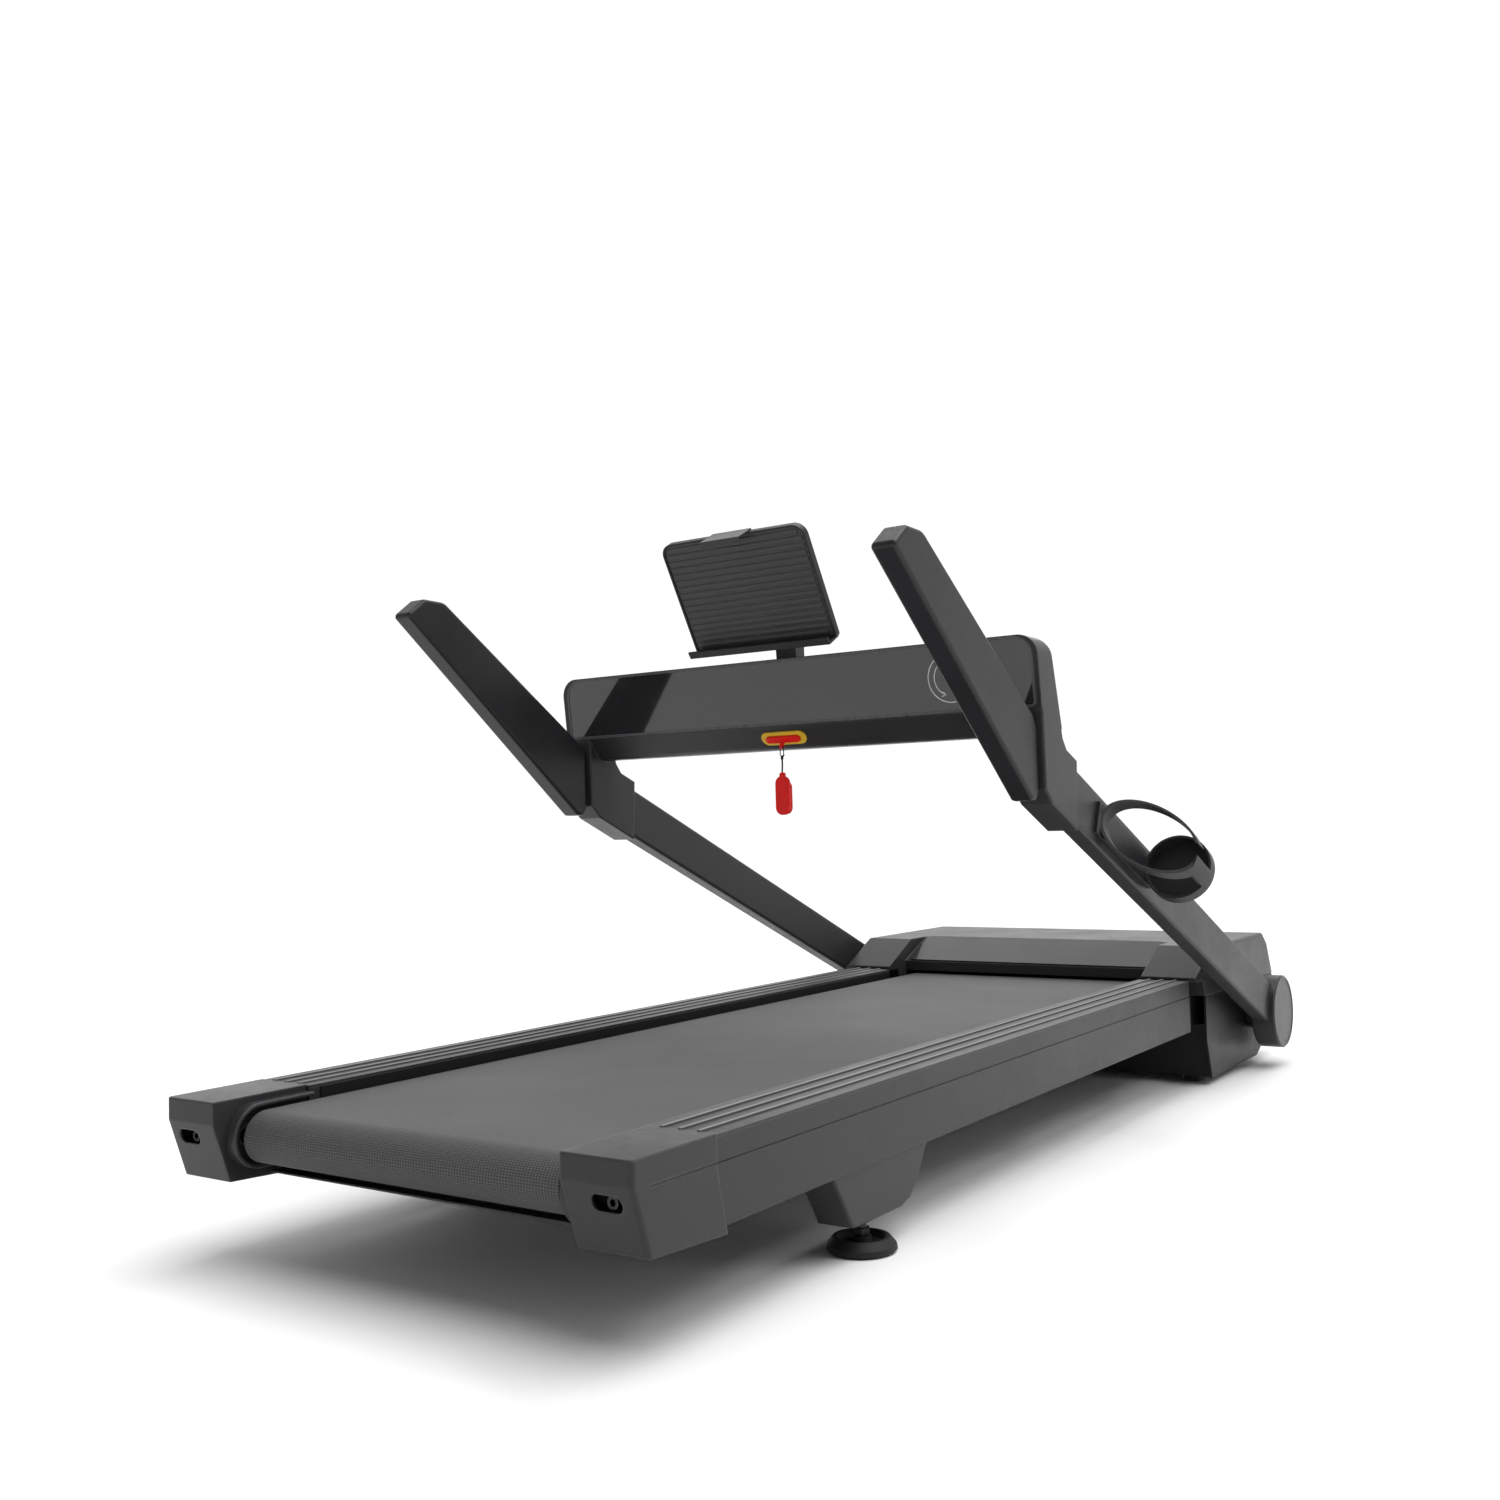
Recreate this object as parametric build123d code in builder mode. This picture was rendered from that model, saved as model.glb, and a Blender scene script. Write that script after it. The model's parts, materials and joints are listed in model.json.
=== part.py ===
"""Treadmill with a swing-down console: one solid per real piece, millimetres, +Z up, +Y towards the motor."""
import os
from math import atan2, cos, degrees, hypot, radians, sin

from build123d import *

os.makedirs("parts", exist_ok=True)

# ---------------------------------------------------------------- driving dimensions
# Y runs from the rear face of the end caps, Z from the floor and X from the middle of the deck.
deck_top = 187.0            # rail tops above the floor
half_width = 335.0          # outer faces of the side rails
rail_inner = 248.0          # inner faces of the side rails
rail_depth = 88.0
rail_rear = 126.0
rail_front = 1503.0
rail_wall = 4.0
groove_drop = 27.0          # seam line below the deck top
tread_thickness = 3.0
ridge_first = 268.0
ridge_step = 22.5
ridge_count = 3

belt_half = 229.0
belt_drop = 14.0            # belt surface below the deck top
belt_thickness = 2.4
wrap_radius = 26.5          # inside of the belt on its rollers
roller_gap = 0.3            # keeps the turning rollers off the belt
rear_roller_y = 52.0
front_roller_y = 1615.0
axle_radius = 7.5
running_fit = 0.05          # radial clearance of anything that turns on a pin

board_thickness = 16.0
cushion_height = 8.0
crossbar_height = 24.0
crossbar_width = 50.0

hub_y = 1818.0
hub_radius = 66.0
hub_drop = 86.0             # hub axis below the deck top
upright_angle = 22.95       # degrees above the floor at rest
upright_inner = 368.5
upright_outer = 398.0
upright_depth = 72.4
upright_wall = 2.5

console_half = 403.0
leg_inner = 358.0
handle_inner = 364.0
handle_outer = 396.0

foot_x = 308.0
foot_y = 430.0
foot_pad_radius = 40.0

hood_half = 348.0
hood_wall = 4.0
wing_inner = 250.0
hood_top = deck_top + 50.0
seam_z = deck_top - 31.0
base_z = 12.0               # underside of the base above the floor

tablet_width = 240.0
tablet_height = 169.0
tablet_thickness = 10.0
tablet_lean = 30.0          # degrees towards the user at rest

belt_top = deck_top - belt_drop
roller_z = belt_top - belt_thickness - wrap_radius
roller_radius = wrap_radius - roller_gap
board_top = belt_top - belt_thickness - 0.1
board_bottom = board_top - board_thickness
crossbar_top = board_bottom - cushion_height
hub_z = deck_top - hub_drop
rail_bottom = deck_top - rail_depth

pieces = []


def keep(piece, label):
    """Name a finished piece and set it aside for export."""
    piece.label = label
    pieces.append(piece)


def keep_pair(right_part, label):
    """Keep a right-hand piece together with its mirror image."""
    with BuildPart() as left_hand:
        mirror(right_part, about=Plane.YZ)
    keep(right_part, label + "_right")
    keep(left_hand.part, label + "_left")


def keep_both(right_part, label):
    """Keep a piece and its mirror image as one group of two solids."""
    with BuildPart() as both_hands:
        add(right_part)
        mirror(right_part, about=Plane.YZ)
    keep(both_hands.part, label)


def side_plane(x):
    """Sketch plane facing +X: local x is +Y and local y is +Z."""
    return Plane.YZ.offset(x)


def cross_plane(y):
    """Sketch plane across the deck: local x is +X and local y is +Z, and extruding by -d goes +Y."""
    return Plane.XZ.offset(-y)


def side_slab(outline, x_from, x_to):
    """Plate with its outline in the YZ plane, from one X to another."""
    with BuildPart() as slab:
        with BuildSketch(side_plane(x_from)):
            with BuildLine():
                Polyline(*outline, close=True)
            make_face()
        extrude(amount=x_to - x_from)
    return slab.part


# ---------------------------------------------------------------- side rails
rail_length = rail_front - rail_rear
rail_mid_x = (half_width + rail_inner) / 2
rail_width = half_width - rail_inner
tread_top = deck_top - 1.0

with BuildPart() as side_rail:
    with BuildSketch(cross_plane(rail_rear)):
        with Locations((rail_mid_x, (rail_bottom + tread_top - tread_thickness) / 2)):
            Rectangle(rail_width, tread_top - tread_thickness - rail_bottom)
            Rectangle(rail_width - 2 * rail_wall,
                      tread_top - tread_thickness - rail_bottom - 2 * rail_wall, mode=Mode.SUBTRACT)
        with Locations((half_width, deck_top - groove_drop)):
            Rectangle(2.4, 2.0, mode=Mode.SUBTRACT)
    extrude(amount=-rail_length)
    lower_outer_edge = side_rail.edges().filter_by(Axis.Y).group_by(Axis.Z)[0].sort_by(Axis.X)[-1]
    fillet(lower_outer_edge, 2.5)
    add(side_slab([(rail_rear, deck_top - 33), (rail_rear + 14, rail_bottom - 6),
                   (rail_rear, rail_bottom - 6)], rail_inner - 1, half_width + 1), mode=Mode.SUBTRACT)
keep_pair(side_rail.part, "side_rail")

with BuildPart() as foot_rail:
    with BuildSketch(cross_plane(rail_rear)):
        with Locations((rail_mid_x, tread_top - tread_thickness / 2)):
            Rectangle(rail_width, tread_thickness)
        for ridge in range(ridge_count):
            with Locations((ridge_first + ridge * ridge_step, tread_top)):
                Circle(1.8)
    extrude(amount=-rail_length)
    outer_top_edge = foot_rail.edges().filter_by(Axis.Y).sort_by(Axis.X)[-2:].sort_by(Axis.Z)[-1]
    fillet(outer_top_edge, 1.2)
keep_pair(foot_rail.part, "foot_rail")

# ---------------------------------------------------------------- rear end caps
cap_inner = 252.0
cap_wall = 4.0
cap_low_rear = deck_top - 90.0
cap_low_front = deck_top - 96.0
cap_bend_z = deck_top - 25.0
undercut_y = 22.0
slot_width = 36.0
slot_height = 16.0
slot_x = 301.0
collar_inner = 236.0
collar_radius = 36.0
collar_wall = 4.5

cap_outline = [(0, deck_top), (0, cap_bend_z), (undercut_y, cap_low_rear), (140, cap_low_front),
               (rail_rear, deck_top - 33), (rail_rear, deck_top)]
cap_void = [(cap_wall, deck_top - cap_wall), (cap_wall, cap_bend_z - 1),
            (undercut_y + cap_wall - 1, cap_low_rear + cap_wall), (160, cap_low_front + cap_wall - 1),
            (160, deck_top - cap_wall)]

with BuildPart() as rear_cap:
    add(side_slab(cap_outline, cap_inner, half_width))
    outer_corner = rear_cap.edges().filter_by(lambda e: abs(e.center().X - half_width) < 0.1)
    fillet(outer_corner.filter_by(lambda e: e.center().Y < undercut_y), 5)
    fillet(rear_cap.edges().group_by(Axis.Z)[-1].group_by(Axis.Y)[0], 2)
    with BuildSketch(Plane.XZ.offset(10)):
        with Locations((slot_x, roller_z + 1)):
            SlotOverall(slot_width, slot_height)
    extrude(amount=-34, mode=Mode.SUBTRACT)
    add(side_slab(cap_void, cap_inner + cap_wall, half_width - cap_wall), mode=Mode.SUBTRACT)
    with BuildSketch(side_plane(cap_inner + cap_wall)):
        with Locations((rear_roller_y, roller_z)):
            SlotCenterToCenter(16, 2 * axle_radius + 3)
    extrude(amount=-(cap_wall + 1), mode=Mode.SUBTRACT)
    # web that the adjusting screw bears on
    with BuildSketch(cross_plane(24)):
        with Locations(((cap_inner + half_width) / 2, roller_z)):
            Rectangle(half_width - cap_inner - 2, 34)
        with Locations((slot_x, roller_z)):
            Circle(4, mode=Mode.SUBTRACT)
    extrude(amount=-4)
    # seam line that carries on from the side rail
    with BuildSketch(Plane.XY.offset(deck_top - groove_drop - 1)):
        with Locations((half_width, 78)):
            Rectangle(1.6, 110)
    extrude(amount=2, mode=Mode.SUBTRACT)
keep_pair(rear_cap.part, "rear_cap")

# collar that hoops round the roller's end and opens towards the belt
with BuildPart() as roller_collar:
    with BuildSketch(side_plane(collar_inner)):
        with Locations((rear_roller_y, roller_z)):
            Circle(collar_radius)
        with Locations((rear_roller_y + 36, roller_z + collar_radius - collar_wall / 2)):
            Rectangle(72, collar_wall)
        with Locations((rear_roller_y + 16, roller_z - collar_radius + collar_wall / 2)):
            Rectangle(32, collar_wall)
        with Locations((rear_roller_y, roller_z)):
            Circle(collar_radius - collar_wall, mode=Mode.SUBTRACT)
        with Locations((rear_roller_y + 40, roller_z)):
            Rectangle(80, 2 * (collar_radius - collar_wall), mode=Mode.SUBTRACT)
    extrude(amount=cap_inner - collar_inner)
    rims = roller_collar.edges().filter_by(lambda e: abs(e.center().X - collar_inner) < 0.1)
    chamfer(rims.filter_by(GeomType.CIRCLE), 1)
keep_both(roller_collar.part, "roller_collars")

with BuildPart() as roller_adjuster:
    with BuildSketch(Plane.XZ.offset(-14)):
        with Locations((slot_x, roller_z)):
            Circle(6.5)
            RegularPolygon(3.6, 6, mode=Mode.SUBTRACT)
    extrude(amount=-8)
    with BuildSketch(Plane.XZ.offset(-20)):
        with Locations((slot_x, roller_z)):
            Circle(4)
    extrude(amount=-64)
keep_both(roller_adjuster.part, "roller_adjusters")

# ---------------------------------------------------------------- rollers, axles and belt
roller_half = 233.0
bearing_depth = 18.0
pulley_inner = 238.0
pulley_outer = 254.0
pulley_radius = 34.0


def roller(y):
    """Tube roller with closed ends that runs on a fixed axle."""
    centre = Plane.YZ.offset(-roller_half).shift_origin((-roller_half, y, roller_z))
    with BuildPart() as tube:
        with BuildSketch(centre):
            Circle(roller_radius)
            Circle(axle_radius + running_fit, mode=Mode.SUBTRACT)
        extrude(amount=2 * roller_half)
        with BuildSketch(centre.offset(bearing_depth)):
            Circle(roller_radius - 3)
        extrude(amount=2 * (roller_half - bearing_depth), mode=Mode.SUBTRACT)
    return tube.part


keep(roller(rear_roller_y), "rear_roller")
keep(roller(front_roller_y), "front_roller")

with BuildPart() as roller_axles:
    with BuildSketch(side_plane(-322)):
        with Locations((rear_roller_y, roller_z)):
            Circle(axle_radius)
    extrude(amount=644)
    with BuildSketch(side_plane(-266)):
        with Locations((front_roller_y, roller_z)):
            Circle(axle_radius)
    extrude(amount=532)
    for side in (-1, 1):
        with BuildSketch(Plane.XZ.offset(-(rear_roller_y - 20))):
            with Locations((side * slot_x, roller_z)):
                Circle(4 + running_fit)
        extrude(amount=-40, mode=Mode.SUBTRACT)
keep(roller_axles.part, "roller_axles")

with BuildPart() as roller_pulley:
    with BuildSketch(side_plane(-pulley_outer)):
        with Locations((front_roller_y, roller_z)):
            Circle(pulley_radius)
            Circle(axle_radius + running_fit, mode=Mode.SUBTRACT)
    extrude(amount=pulley_outer - pulley_inner + 5)
    for x in (-pulley_outer + 4, -pulley_outer + 8, -pulley_outer + 12):
        with BuildSketch(side_plane(x - 1)):
            with Locations((front_roller_y, roller_z)):
                Circle(pulley_radius + 2)
                Circle(pulley_radius - 1.8, mode=Mode.SUBTRACT)
        extrude(amount=2, mode=Mode.SUBTRACT)
keep(roller_pulley.part, "roller_pulley")

with BuildPart() as running_belt:
    with BuildSketch(side_plane(-belt_half)):
        with Locations(((rear_roller_y + front_roller_y) / 2, roller_z)):
            SlotCenterToCenter(front_roller_y - rear_roller_y, 2 * (wrap_radius + belt_thickness))
            SlotCenterToCenter(front_roller_y - rear_roller_y, 2 * wrap_radius, mode=Mode.SUBTRACT)
    extrude(amount=2 * belt_half)
keep(running_belt.part, "running_belt")

# ---------------------------------------------------------------- deck
crossbar_rows = [240.0, 610.0, 980.0, 1350.0]
cushion_x = 185.0

with BuildPart() as deck_board:
    with BuildSketch(Plane.XY.offset(board_bottom)):
        with Locations((0, (95 + 1555) / 2)):
            RectangleRounded(476, 1555 - 95, 8)
    extrude(amount=board_thickness)
    fillet(deck_board.edges().group_by(Axis.Z)[-1].filter_by(Axis.X), 5)
keep(deck_board.part, "deck_board")

with BuildPart() as deck_cushions:
    for row in crossbar_rows:
        for side in (-1, 1):
            with BuildSketch(Plane.XY.offset(crossbar_top)):
                with Locations((side * cushion_x, row)):
                    Circle(16)
                    Circle(4, mode=Mode.SUBTRACT)
            extrude(amount=cushion_height)
keep(deck_cushions.part, "deck_cushions")

with BuildPart() as deck_crossbars:
    for row in crossbar_rows:
        with BuildSketch(side_plane(-rail_inner)):
            with Locations((row, crossbar_top - crossbar_height / 2)):
                RectangleRounded(crossbar_width, crossbar_height, 3)
                RectangleRounded(crossbar_width - 5, crossbar_height - 5, 1, mode=Mode.SUBTRACT)
        extrude(amount=2 * rail_inner)
keep(deck_crossbars.part, "deck_crossbars")

with BuildPart() as rear_guard:
    with BuildSketch(side_plane(-rail_inner)):
        with BuildLine():
            guard_top = roller_z - wrap_radius - belt_thickness - 3
            Polyline((92, guard_top), (150, guard_top), (150, guard_top - 2.5), (94.5, guard_top - 2.5),
                     (88, guard_top - 14), (72, guard_top - 14), (72, guard_top - 12), (86, guard_top - 12),
                     close=True)
        make_face()
    extrude(amount=2 * rail_inner)
keep(rear_guard.part, "rear_guard")

# ---------------------------------------------------------------- rear levelling feet
bracket_inner = 286.0
bracket_outer = 330.0
bracket_bottom = deck_top - 150.0
stud_radius = 6.0

bracket_outline = [(338, rail_bottom), (376, bracket_bottom + 2), (386, bracket_bottom),
                   (486, bracket_bottom), (506, bracket_bottom + 6), (522, bracket_bottom + 20),
                   (552, rail_bottom)]
bracket_void = [(348, rail_bottom + 1), (384, bracket_bottom + 8), (486, bracket_bottom + 8),
                (504, bracket_bottom + 14), (514, bracket_bottom + 24), (541, rail_bottom + 1)]

with BuildPart() as foot_bracket:
    add(side_slab(bracket_outline, bracket_inner, bracket_outer))
    fillet(foot_bracket.edges().filter_by(lambda e: e.center().Z < rail_bottom - 2
                                          and e.center().X > bracket_outer - 1), 3)
    add(side_slab(bracket_void, bracket_inner + 4, bracket_outer - 4), mode=Mode.SUBTRACT)
    with BuildSketch(Plane.XY.offset(bracket_bottom)):
        with Locations((foot_x, foot_y)):
            Circle(13)
    extrude(amount=22)
    with BuildSketch(Plane.XY.offset(bracket_bottom - 1)):
        with Locations((foot_x, foot_y)):
            Circle(stud_radius + running_fit)
    extrude(amount=30, mode=Mode.SUBTRACT)
keep_pair(foot_bracket.part, "foot_bracket")

with BuildPart() as foot_stud:
    with BuildSketch(Plane.XY.offset(10)):
        with Locations((foot_x, foot_y)):
            Circle(stud_radius)
    extrude(amount=62)
    with BuildSketch(Plane.XY.offset(17)):
        with Locations((foot_x, foot_y)):
            RegularPolygon(10.5, 6)
    extrude(amount=8)
keep_pair(foot_stud.part, "foot_stud")

with BuildPart() as foot_pad:
    with BuildSketch(Plane.XZ.offset(-foot_y)):
        with BuildLine():
            Polyline((foot_x, 0), (foot_x + foot_pad_radius - 3, 0), (foot_x + foot_pad_radius, 3),
                     (foot_x + foot_pad_radius - 1, 8), (foot_x + 32, 16), (foot_x + 28, 16),
                     (foot_x + 24, 9), (foot_x + 12, 9), (foot_x + 11, 16.5), (foot_x, 16.5), close=True)
        make_face()
    revolve(axis=Axis((foot_x, foot_y, 0), (0, 0, 1)))
    with BuildSketch(Plane.XY.offset(10)):
        with Locations((foot_x, foot_y)):
            Circle(stud_radius)
    extrude(amount=10, mode=Mode.SUBTRACT)
keep_pair(foot_pad.part, "foot_pad")

# ---------------------------------------------------------------- base frame under the hood
tube_inner = 264.0
tube_outer = 322.0
tube_bottom = rail_bottom + rail_wall
tube_top = deck_top - 32.0
base_rear = 1390.0
base_front = 1950.0
boss_radius = 32.0
boss_outer = 364.0
pin_radius = 15.0

with BuildPart() as base_frame:
    for side in (-1, 1):
        with BuildSketch(cross_plane(base_rear)):
            with Locations((side * (tube_inner + tube_outer) / 2, (tube_bottom + tube_top) / 2)):
                Rectangle(tube_outer - tube_inner, tube_top - tube_bottom)
                Rectangle(tube_outer - tube_inner - 8, tube_top - tube_bottom - 8, mode=Mode.SUBTRACT)
        extrude(amount=-(base_front - base_rear))
        # plate that carries the hub boss
        with BuildSketch(side_plane(side * (tube_outer + 4))):
            with Locations((hub_y, (deck_top - 140 + tube_top) / 2)):
                RectangleRounded(110, tube_top - deck_top + 140, 12)
        extrude(amount=4, both=True)
        with BuildSketch(side_plane(side * tube_outer)):
            with Locations((hub_y, hub_z)):
                Circle(boss_radius)
        extrude(amount=side * (boss_outer - tube_outer))
        for leg_y in (1612, 1812):
            with BuildSketch(Plane.XY.offset(base_z + 4)):
                with Locations((side * 300, leg_y)):
                    Rectangle(36, 36)
            extrude(amount=tube_bottom - base_z - 4)
        # lug that holds the front roller's axle
        with BuildSketch(side_plane(side * (tube_inner - 3))):
            with Locations((front_roller_y, roller_z)):
                Rectangle(44, 34)
        extrude(amount=side * 6)
    with BuildSketch(side_plane(-tube_inner)):
        with Locations((1915, tube_bottom + 15)):
            Rectangle(36, 30)
    extrude(amount=2 * tube_inner)
    with BuildSketch(side_plane(-282)):
        with Locations((1612, 60)):
            Rectangle(36, 30)
    extrude(amount=564)
    for side in (-1, 1):
        with BuildSketch(side_plane(side * (tube_inner - 4))):
            with Locations((front_roller_y, roller_z)):
                Circle(axle_radius)
        extrude(amount=side * 12, mode=Mode.SUBTRACT)
        with BuildSketch(side_plane(side * (tube_outer - 1))):
            with Locations((hub_y, hub_z)):
                Circle(pin_radius)
        extrude(amount=side * (boss_outer - tube_outer + 2), mode=Mode.SUBTRACT)
keep(base_frame.part, "base_frame")

hub_outer = 399.0
with BuildPart() as hub_pin:
    with BuildSketch(side_plane(tube_outer)):
        with Locations((hub_y, hub_z)):
            Circle(pin_radius)
    extrude(amount=hub_outer - 3 - tube_outer)
    chamfer(hub_pin.edges().sort_by(Axis.X)[-1], 2)
keep_both(hub_pin.part, "hub_pins")

with BuildPart() as front_feet:
    for side in (-1, 1):
        for leg_y in (1612, 1812):
            with BuildSketch(Plane.XY):
                with Locations((side * 300, leg_y)):
                    Circle(17)
            extrude(amount=base_z + 4, taper=8)
keep(front_feet.part, "front_feet")

# ---------------------------------------------------------------- hood
pan_rear = 1582.0
skirt_nose = 1990.0
recess_top_y = 1665.0
recess_low_y = 1572.0

cover_outline = [(1551, seam_z), (1541, deck_top - 3), (1507, deck_top - 3), (1507, deck_top + 4),
                 (1600, hood_top), (1918, hood_top), (1934, hood_top - 12), (1968, seam_z)]
cover_void = [(1556, seam_z - 1), (1546, deck_top + 1), (1516, deck_top + 1), (1516, deck_top + 4),
              (1601.5, hood_top - hood_wall), (1916, hood_top - hood_wall), (1930, hood_top - 14),
              (1963.5, seam_z - 1)]
recess_cut = [(1490, hood_top + 9), (recess_top_y, hood_top + 9), (recess_top_y, hood_top),
              (recess_low_y, deck_top + 10), (recess_low_y, seam_z - 1), (1490, seam_z - 1)]
middle_void = [(recess_low_y + hood_wall, seam_z - 1), (recess_low_y + hood_wall, deck_top + 7.5),
               (recess_top_y + 1.5, hood_top - hood_wall), (1916, hood_top - hood_wall),
               (1930, hood_top - 14), (1963.5, seam_z - 1)]

with BuildPart() as hood_cover:
    add(side_slab(cover_outline, -hood_half, hood_half))
    side_edges = hood_cover.edges().filter_by(lambda e: abs(abs(e.center().X) - hood_half) < 0.1
                                              and e.center().Z > deck_top + 6)
    fillet(side_edges, 7)
    add(side_slab(recess_cut, -wing_inner, wing_inner), mode=Mode.SUBTRACT)
    add(side_slab(middle_void, -wing_inner - hood_wall, wing_inner + hood_wall), mode=Mode.SUBTRACT)
    for side in (-1, 1):
        add(side_slab(cover_void, side * (wing_inner + hood_wall), side * (hood_half - hood_wall)),
            mode=Mode.SUBTRACT)
    # belt mouth below the recess
    with BuildSketch(Plane.XY.offset(seam_z - 1)):
        with Locations((0, recess_low_y)):
            Rectangle(2 * wing_inner - 2, 30)
    extrude(amount=deck_top - 8 - seam_z + 1, mode=Mode.SUBTRACT)
keep(hood_cover.part, "hood_cover")

slope_angle = degrees(atan2(hood_top - deck_top - 10, recess_top_y - recess_low_y))
slope_length = hypot(hood_top - deck_top - 10, recess_top_y - recess_low_y)
panel_plane = Plane(origin=(0, (recess_low_y + recess_top_y) / 2, (hood_top + deck_top + 10) / 2),
                    x_dir=(1, 0, 0), z_dir=(0, -sin(radians(slope_angle)), cos(radians(slope_angle))))
with BuildPart() as hood_panel:
    with BuildSketch(panel_plane):
        RectangleRounded(2 * wing_inner - 14, slope_length - 4, 9)
    extrude(amount=2.5)
keep(hood_panel.part, "hood_panel")

skirt_outline = [(1551, seam_z - 0.6), (1548, deck_top - 105), (1570, base_z), (1845, base_z),
                 (skirt_nose - 4, 70), (skirt_nose, 78), (skirt_nose, 128), (1968, seam_z - 0.6)]
skirt_void = [(1400, seam_z + 5), (1400, 4), (1849, 4), (1849, base_z + 4), (skirt_nose - 9, 74),
              (skirt_nose - 5, 80), (skirt_nose - 5, 126), (1963, seam_z + 5)]
wheel_x = 292.0
wheel_y = 1912.0
wheel_z = 50.0
wheel_radius = 27.0
wheel_half = 11.0

with BuildPart() as hood_skirt:
    add(side_slab(skirt_outline, -hood_half, hood_half))
    lower_sides = hood_skirt.edges().filter_by(lambda e: abs(abs(e.center().X) - hood_half) < 0.1
                                               and e.center().Z < seam_z - 2 and e.center().Y > 1560)
    fillet(lower_sides, 4)
    add(side_slab(skirt_void, -hood_half + hood_wall, hood_half - hood_wall), mode=Mode.SUBTRACT)
    with BuildSketch(side_plane(-hood_half - 1)):
        with Locations((hub_y, hub_z)):
            Circle(boss_radius + 1)
    extrude(amount=2 * hood_half + 2, mode=Mode.SUBTRACT)
    for side in (-1, 1):
        # open well for a transport wheel, with a cheek on each side of it
        with BuildSketch(Plane.XY.offset(base_z)):
            with Locations((side * wheel_x, wheel_y)):
                Rectangle(2 * wheel_half + 4, 2 * wheel_radius + 8)
        extrude(amount=70, mode=Mode.SUBTRACT)
        for cheek in (-1, 1):
            cheek_x = side * wheel_x + cheek * (wheel_half + 4)
            with BuildSketch(side_plane(cheek_x - 2)):
                with BuildLine():
                    Polyline((1868, 22.5), (1968, 66.5), (1968, 90), (1868, 90), close=True)
                make_face()
                with Locations((wheel_y, wheel_z)):
                    Circle(4 + running_fit, mode=Mode.SUBTRACT)
            extrude(amount=4)
    # inlet and switch window in the nose
    with BuildSketch(Plane.XZ.offset(-(skirt_nose - 8))):
        with Locations((-220, 102)):
            Rectangle(28, 22)
        with Locations((-170, 102)):
            Rectangle(24, 18)
    extrude(amount=-14, mode=Mode.SUBTRACT)
keep(hood_skirt.part, "hood_skirt")

with BuildPart() as transport_wheel:
    with BuildSketch(side_plane(wheel_x - wheel_half)):
        with Locations((wheel_y, wheel_z)):
            Circle(wheel_radius)
    extrude(amount=2 * wheel_half)
    fillet(transport_wheel.edges(), 3)
    with BuildSketch(side_plane(wheel_x - wheel_half - 6)):
        with Locations((wheel_y, wheel_z)):
            Circle(4)
    extrude(amount=2 * wheel_half + 12)
keep_pair(transport_wheel.part, "transport_wheel")

with BuildPart() as base_pan:
    with BuildSketch(Plane.XY.offset(base_z)):
        with Locations((0, (pan_rear + 1845) / 2)):
            Rectangle(2 * (hood_half - hood_wall), 1845 - pan_rear)
    extrude(amount=3.5)
    with BuildSketch(cross_plane(pan_rear)):
        with Locations((0, (base_z + tube_bottom) / 2)):
            Rectangle(2 * (hood_half - hood_wall), tube_bottom - base_z)
    extrude(amount=-3.5)
    for side in (-1, 1):
        with BuildSketch(Plane.XY.offset(base_z)):
            with Locations((side * 300, 1612), (side * 300, 1812)):
                Rectangle(37, 37)
        extrude(amount=3.5, mode=Mode.SUBTRACT)
keep(base_pan.part, "base_pan")

# ---------------------------------------------------------------- drive
motor_y = 1772.0
motor_z = 118.0
motor_radius = 46.0
motor_left = -150.0
motor_right = 40.0
shaft_radius = 8.0
motor_pulley_radius = 12.0

with BuildPart() as drive_motor:
    with BuildSketch(side_plane(motor_left)):
        with Locations((motor_y, motor_z)):
            Circle(motor_radius)
    extrude(amount=motor_right - motor_left)
    fillet(drive_motor.edges(), 4)
    with BuildSketch(Plane.XY.offset(base_z + 3.5)):
        with Locations((-105, motor_y), (-5, motor_y)):
            Rectangle(26, 70)
    extrude(amount=motor_z - motor_radius * 0.7 - base_z - 3.5)
    with BuildSketch(side_plane(motor_left - 1)):
        with Locations((motor_y, motor_z)):
            Circle(shaft_radius + running_fit)
    extrude(amount=motor_right - motor_left + 2, mode=Mode.SUBTRACT)
keep(drive_motor.part, "drive_motor")

with BuildPart() as motor_pulley:
    with BuildSketch(side_plane(-pulley_outer)):
        with Locations((motor_y, motor_z)):
            Circle(motor_pulley_radius)
    extrude(amount=pulley_outer - pulley_inner)
    with BuildSketch(side_plane(-pulley_inner)):
        with Locations((motor_y, motor_z)):
            Circle(shaft_radius)
    extrude(amount=pulley_inner + motor_right + 40)
keep(motor_pulley.part, "motor_pulley")

with BuildPart() as flywheel:
    with BuildSketch(side_plane(motor_right + 10)):
        with Locations((motor_y, motor_z)):
            Circle(52)
            Circle(shaft_radius, mode=Mode.SUBTRACT)
            with PolarLocations(30, 6):
                Circle(8, mode=Mode.SUBTRACT)
    extrude(amount=20)
keep(flywheel.part, "flywheel")

drive_reach = hypot(motor_y - front_roller_y, motor_z - roller_z)
drive_tilt = degrees(atan2(motor_z - roller_z, motor_y - front_roller_y))
band = 3.0


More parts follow.
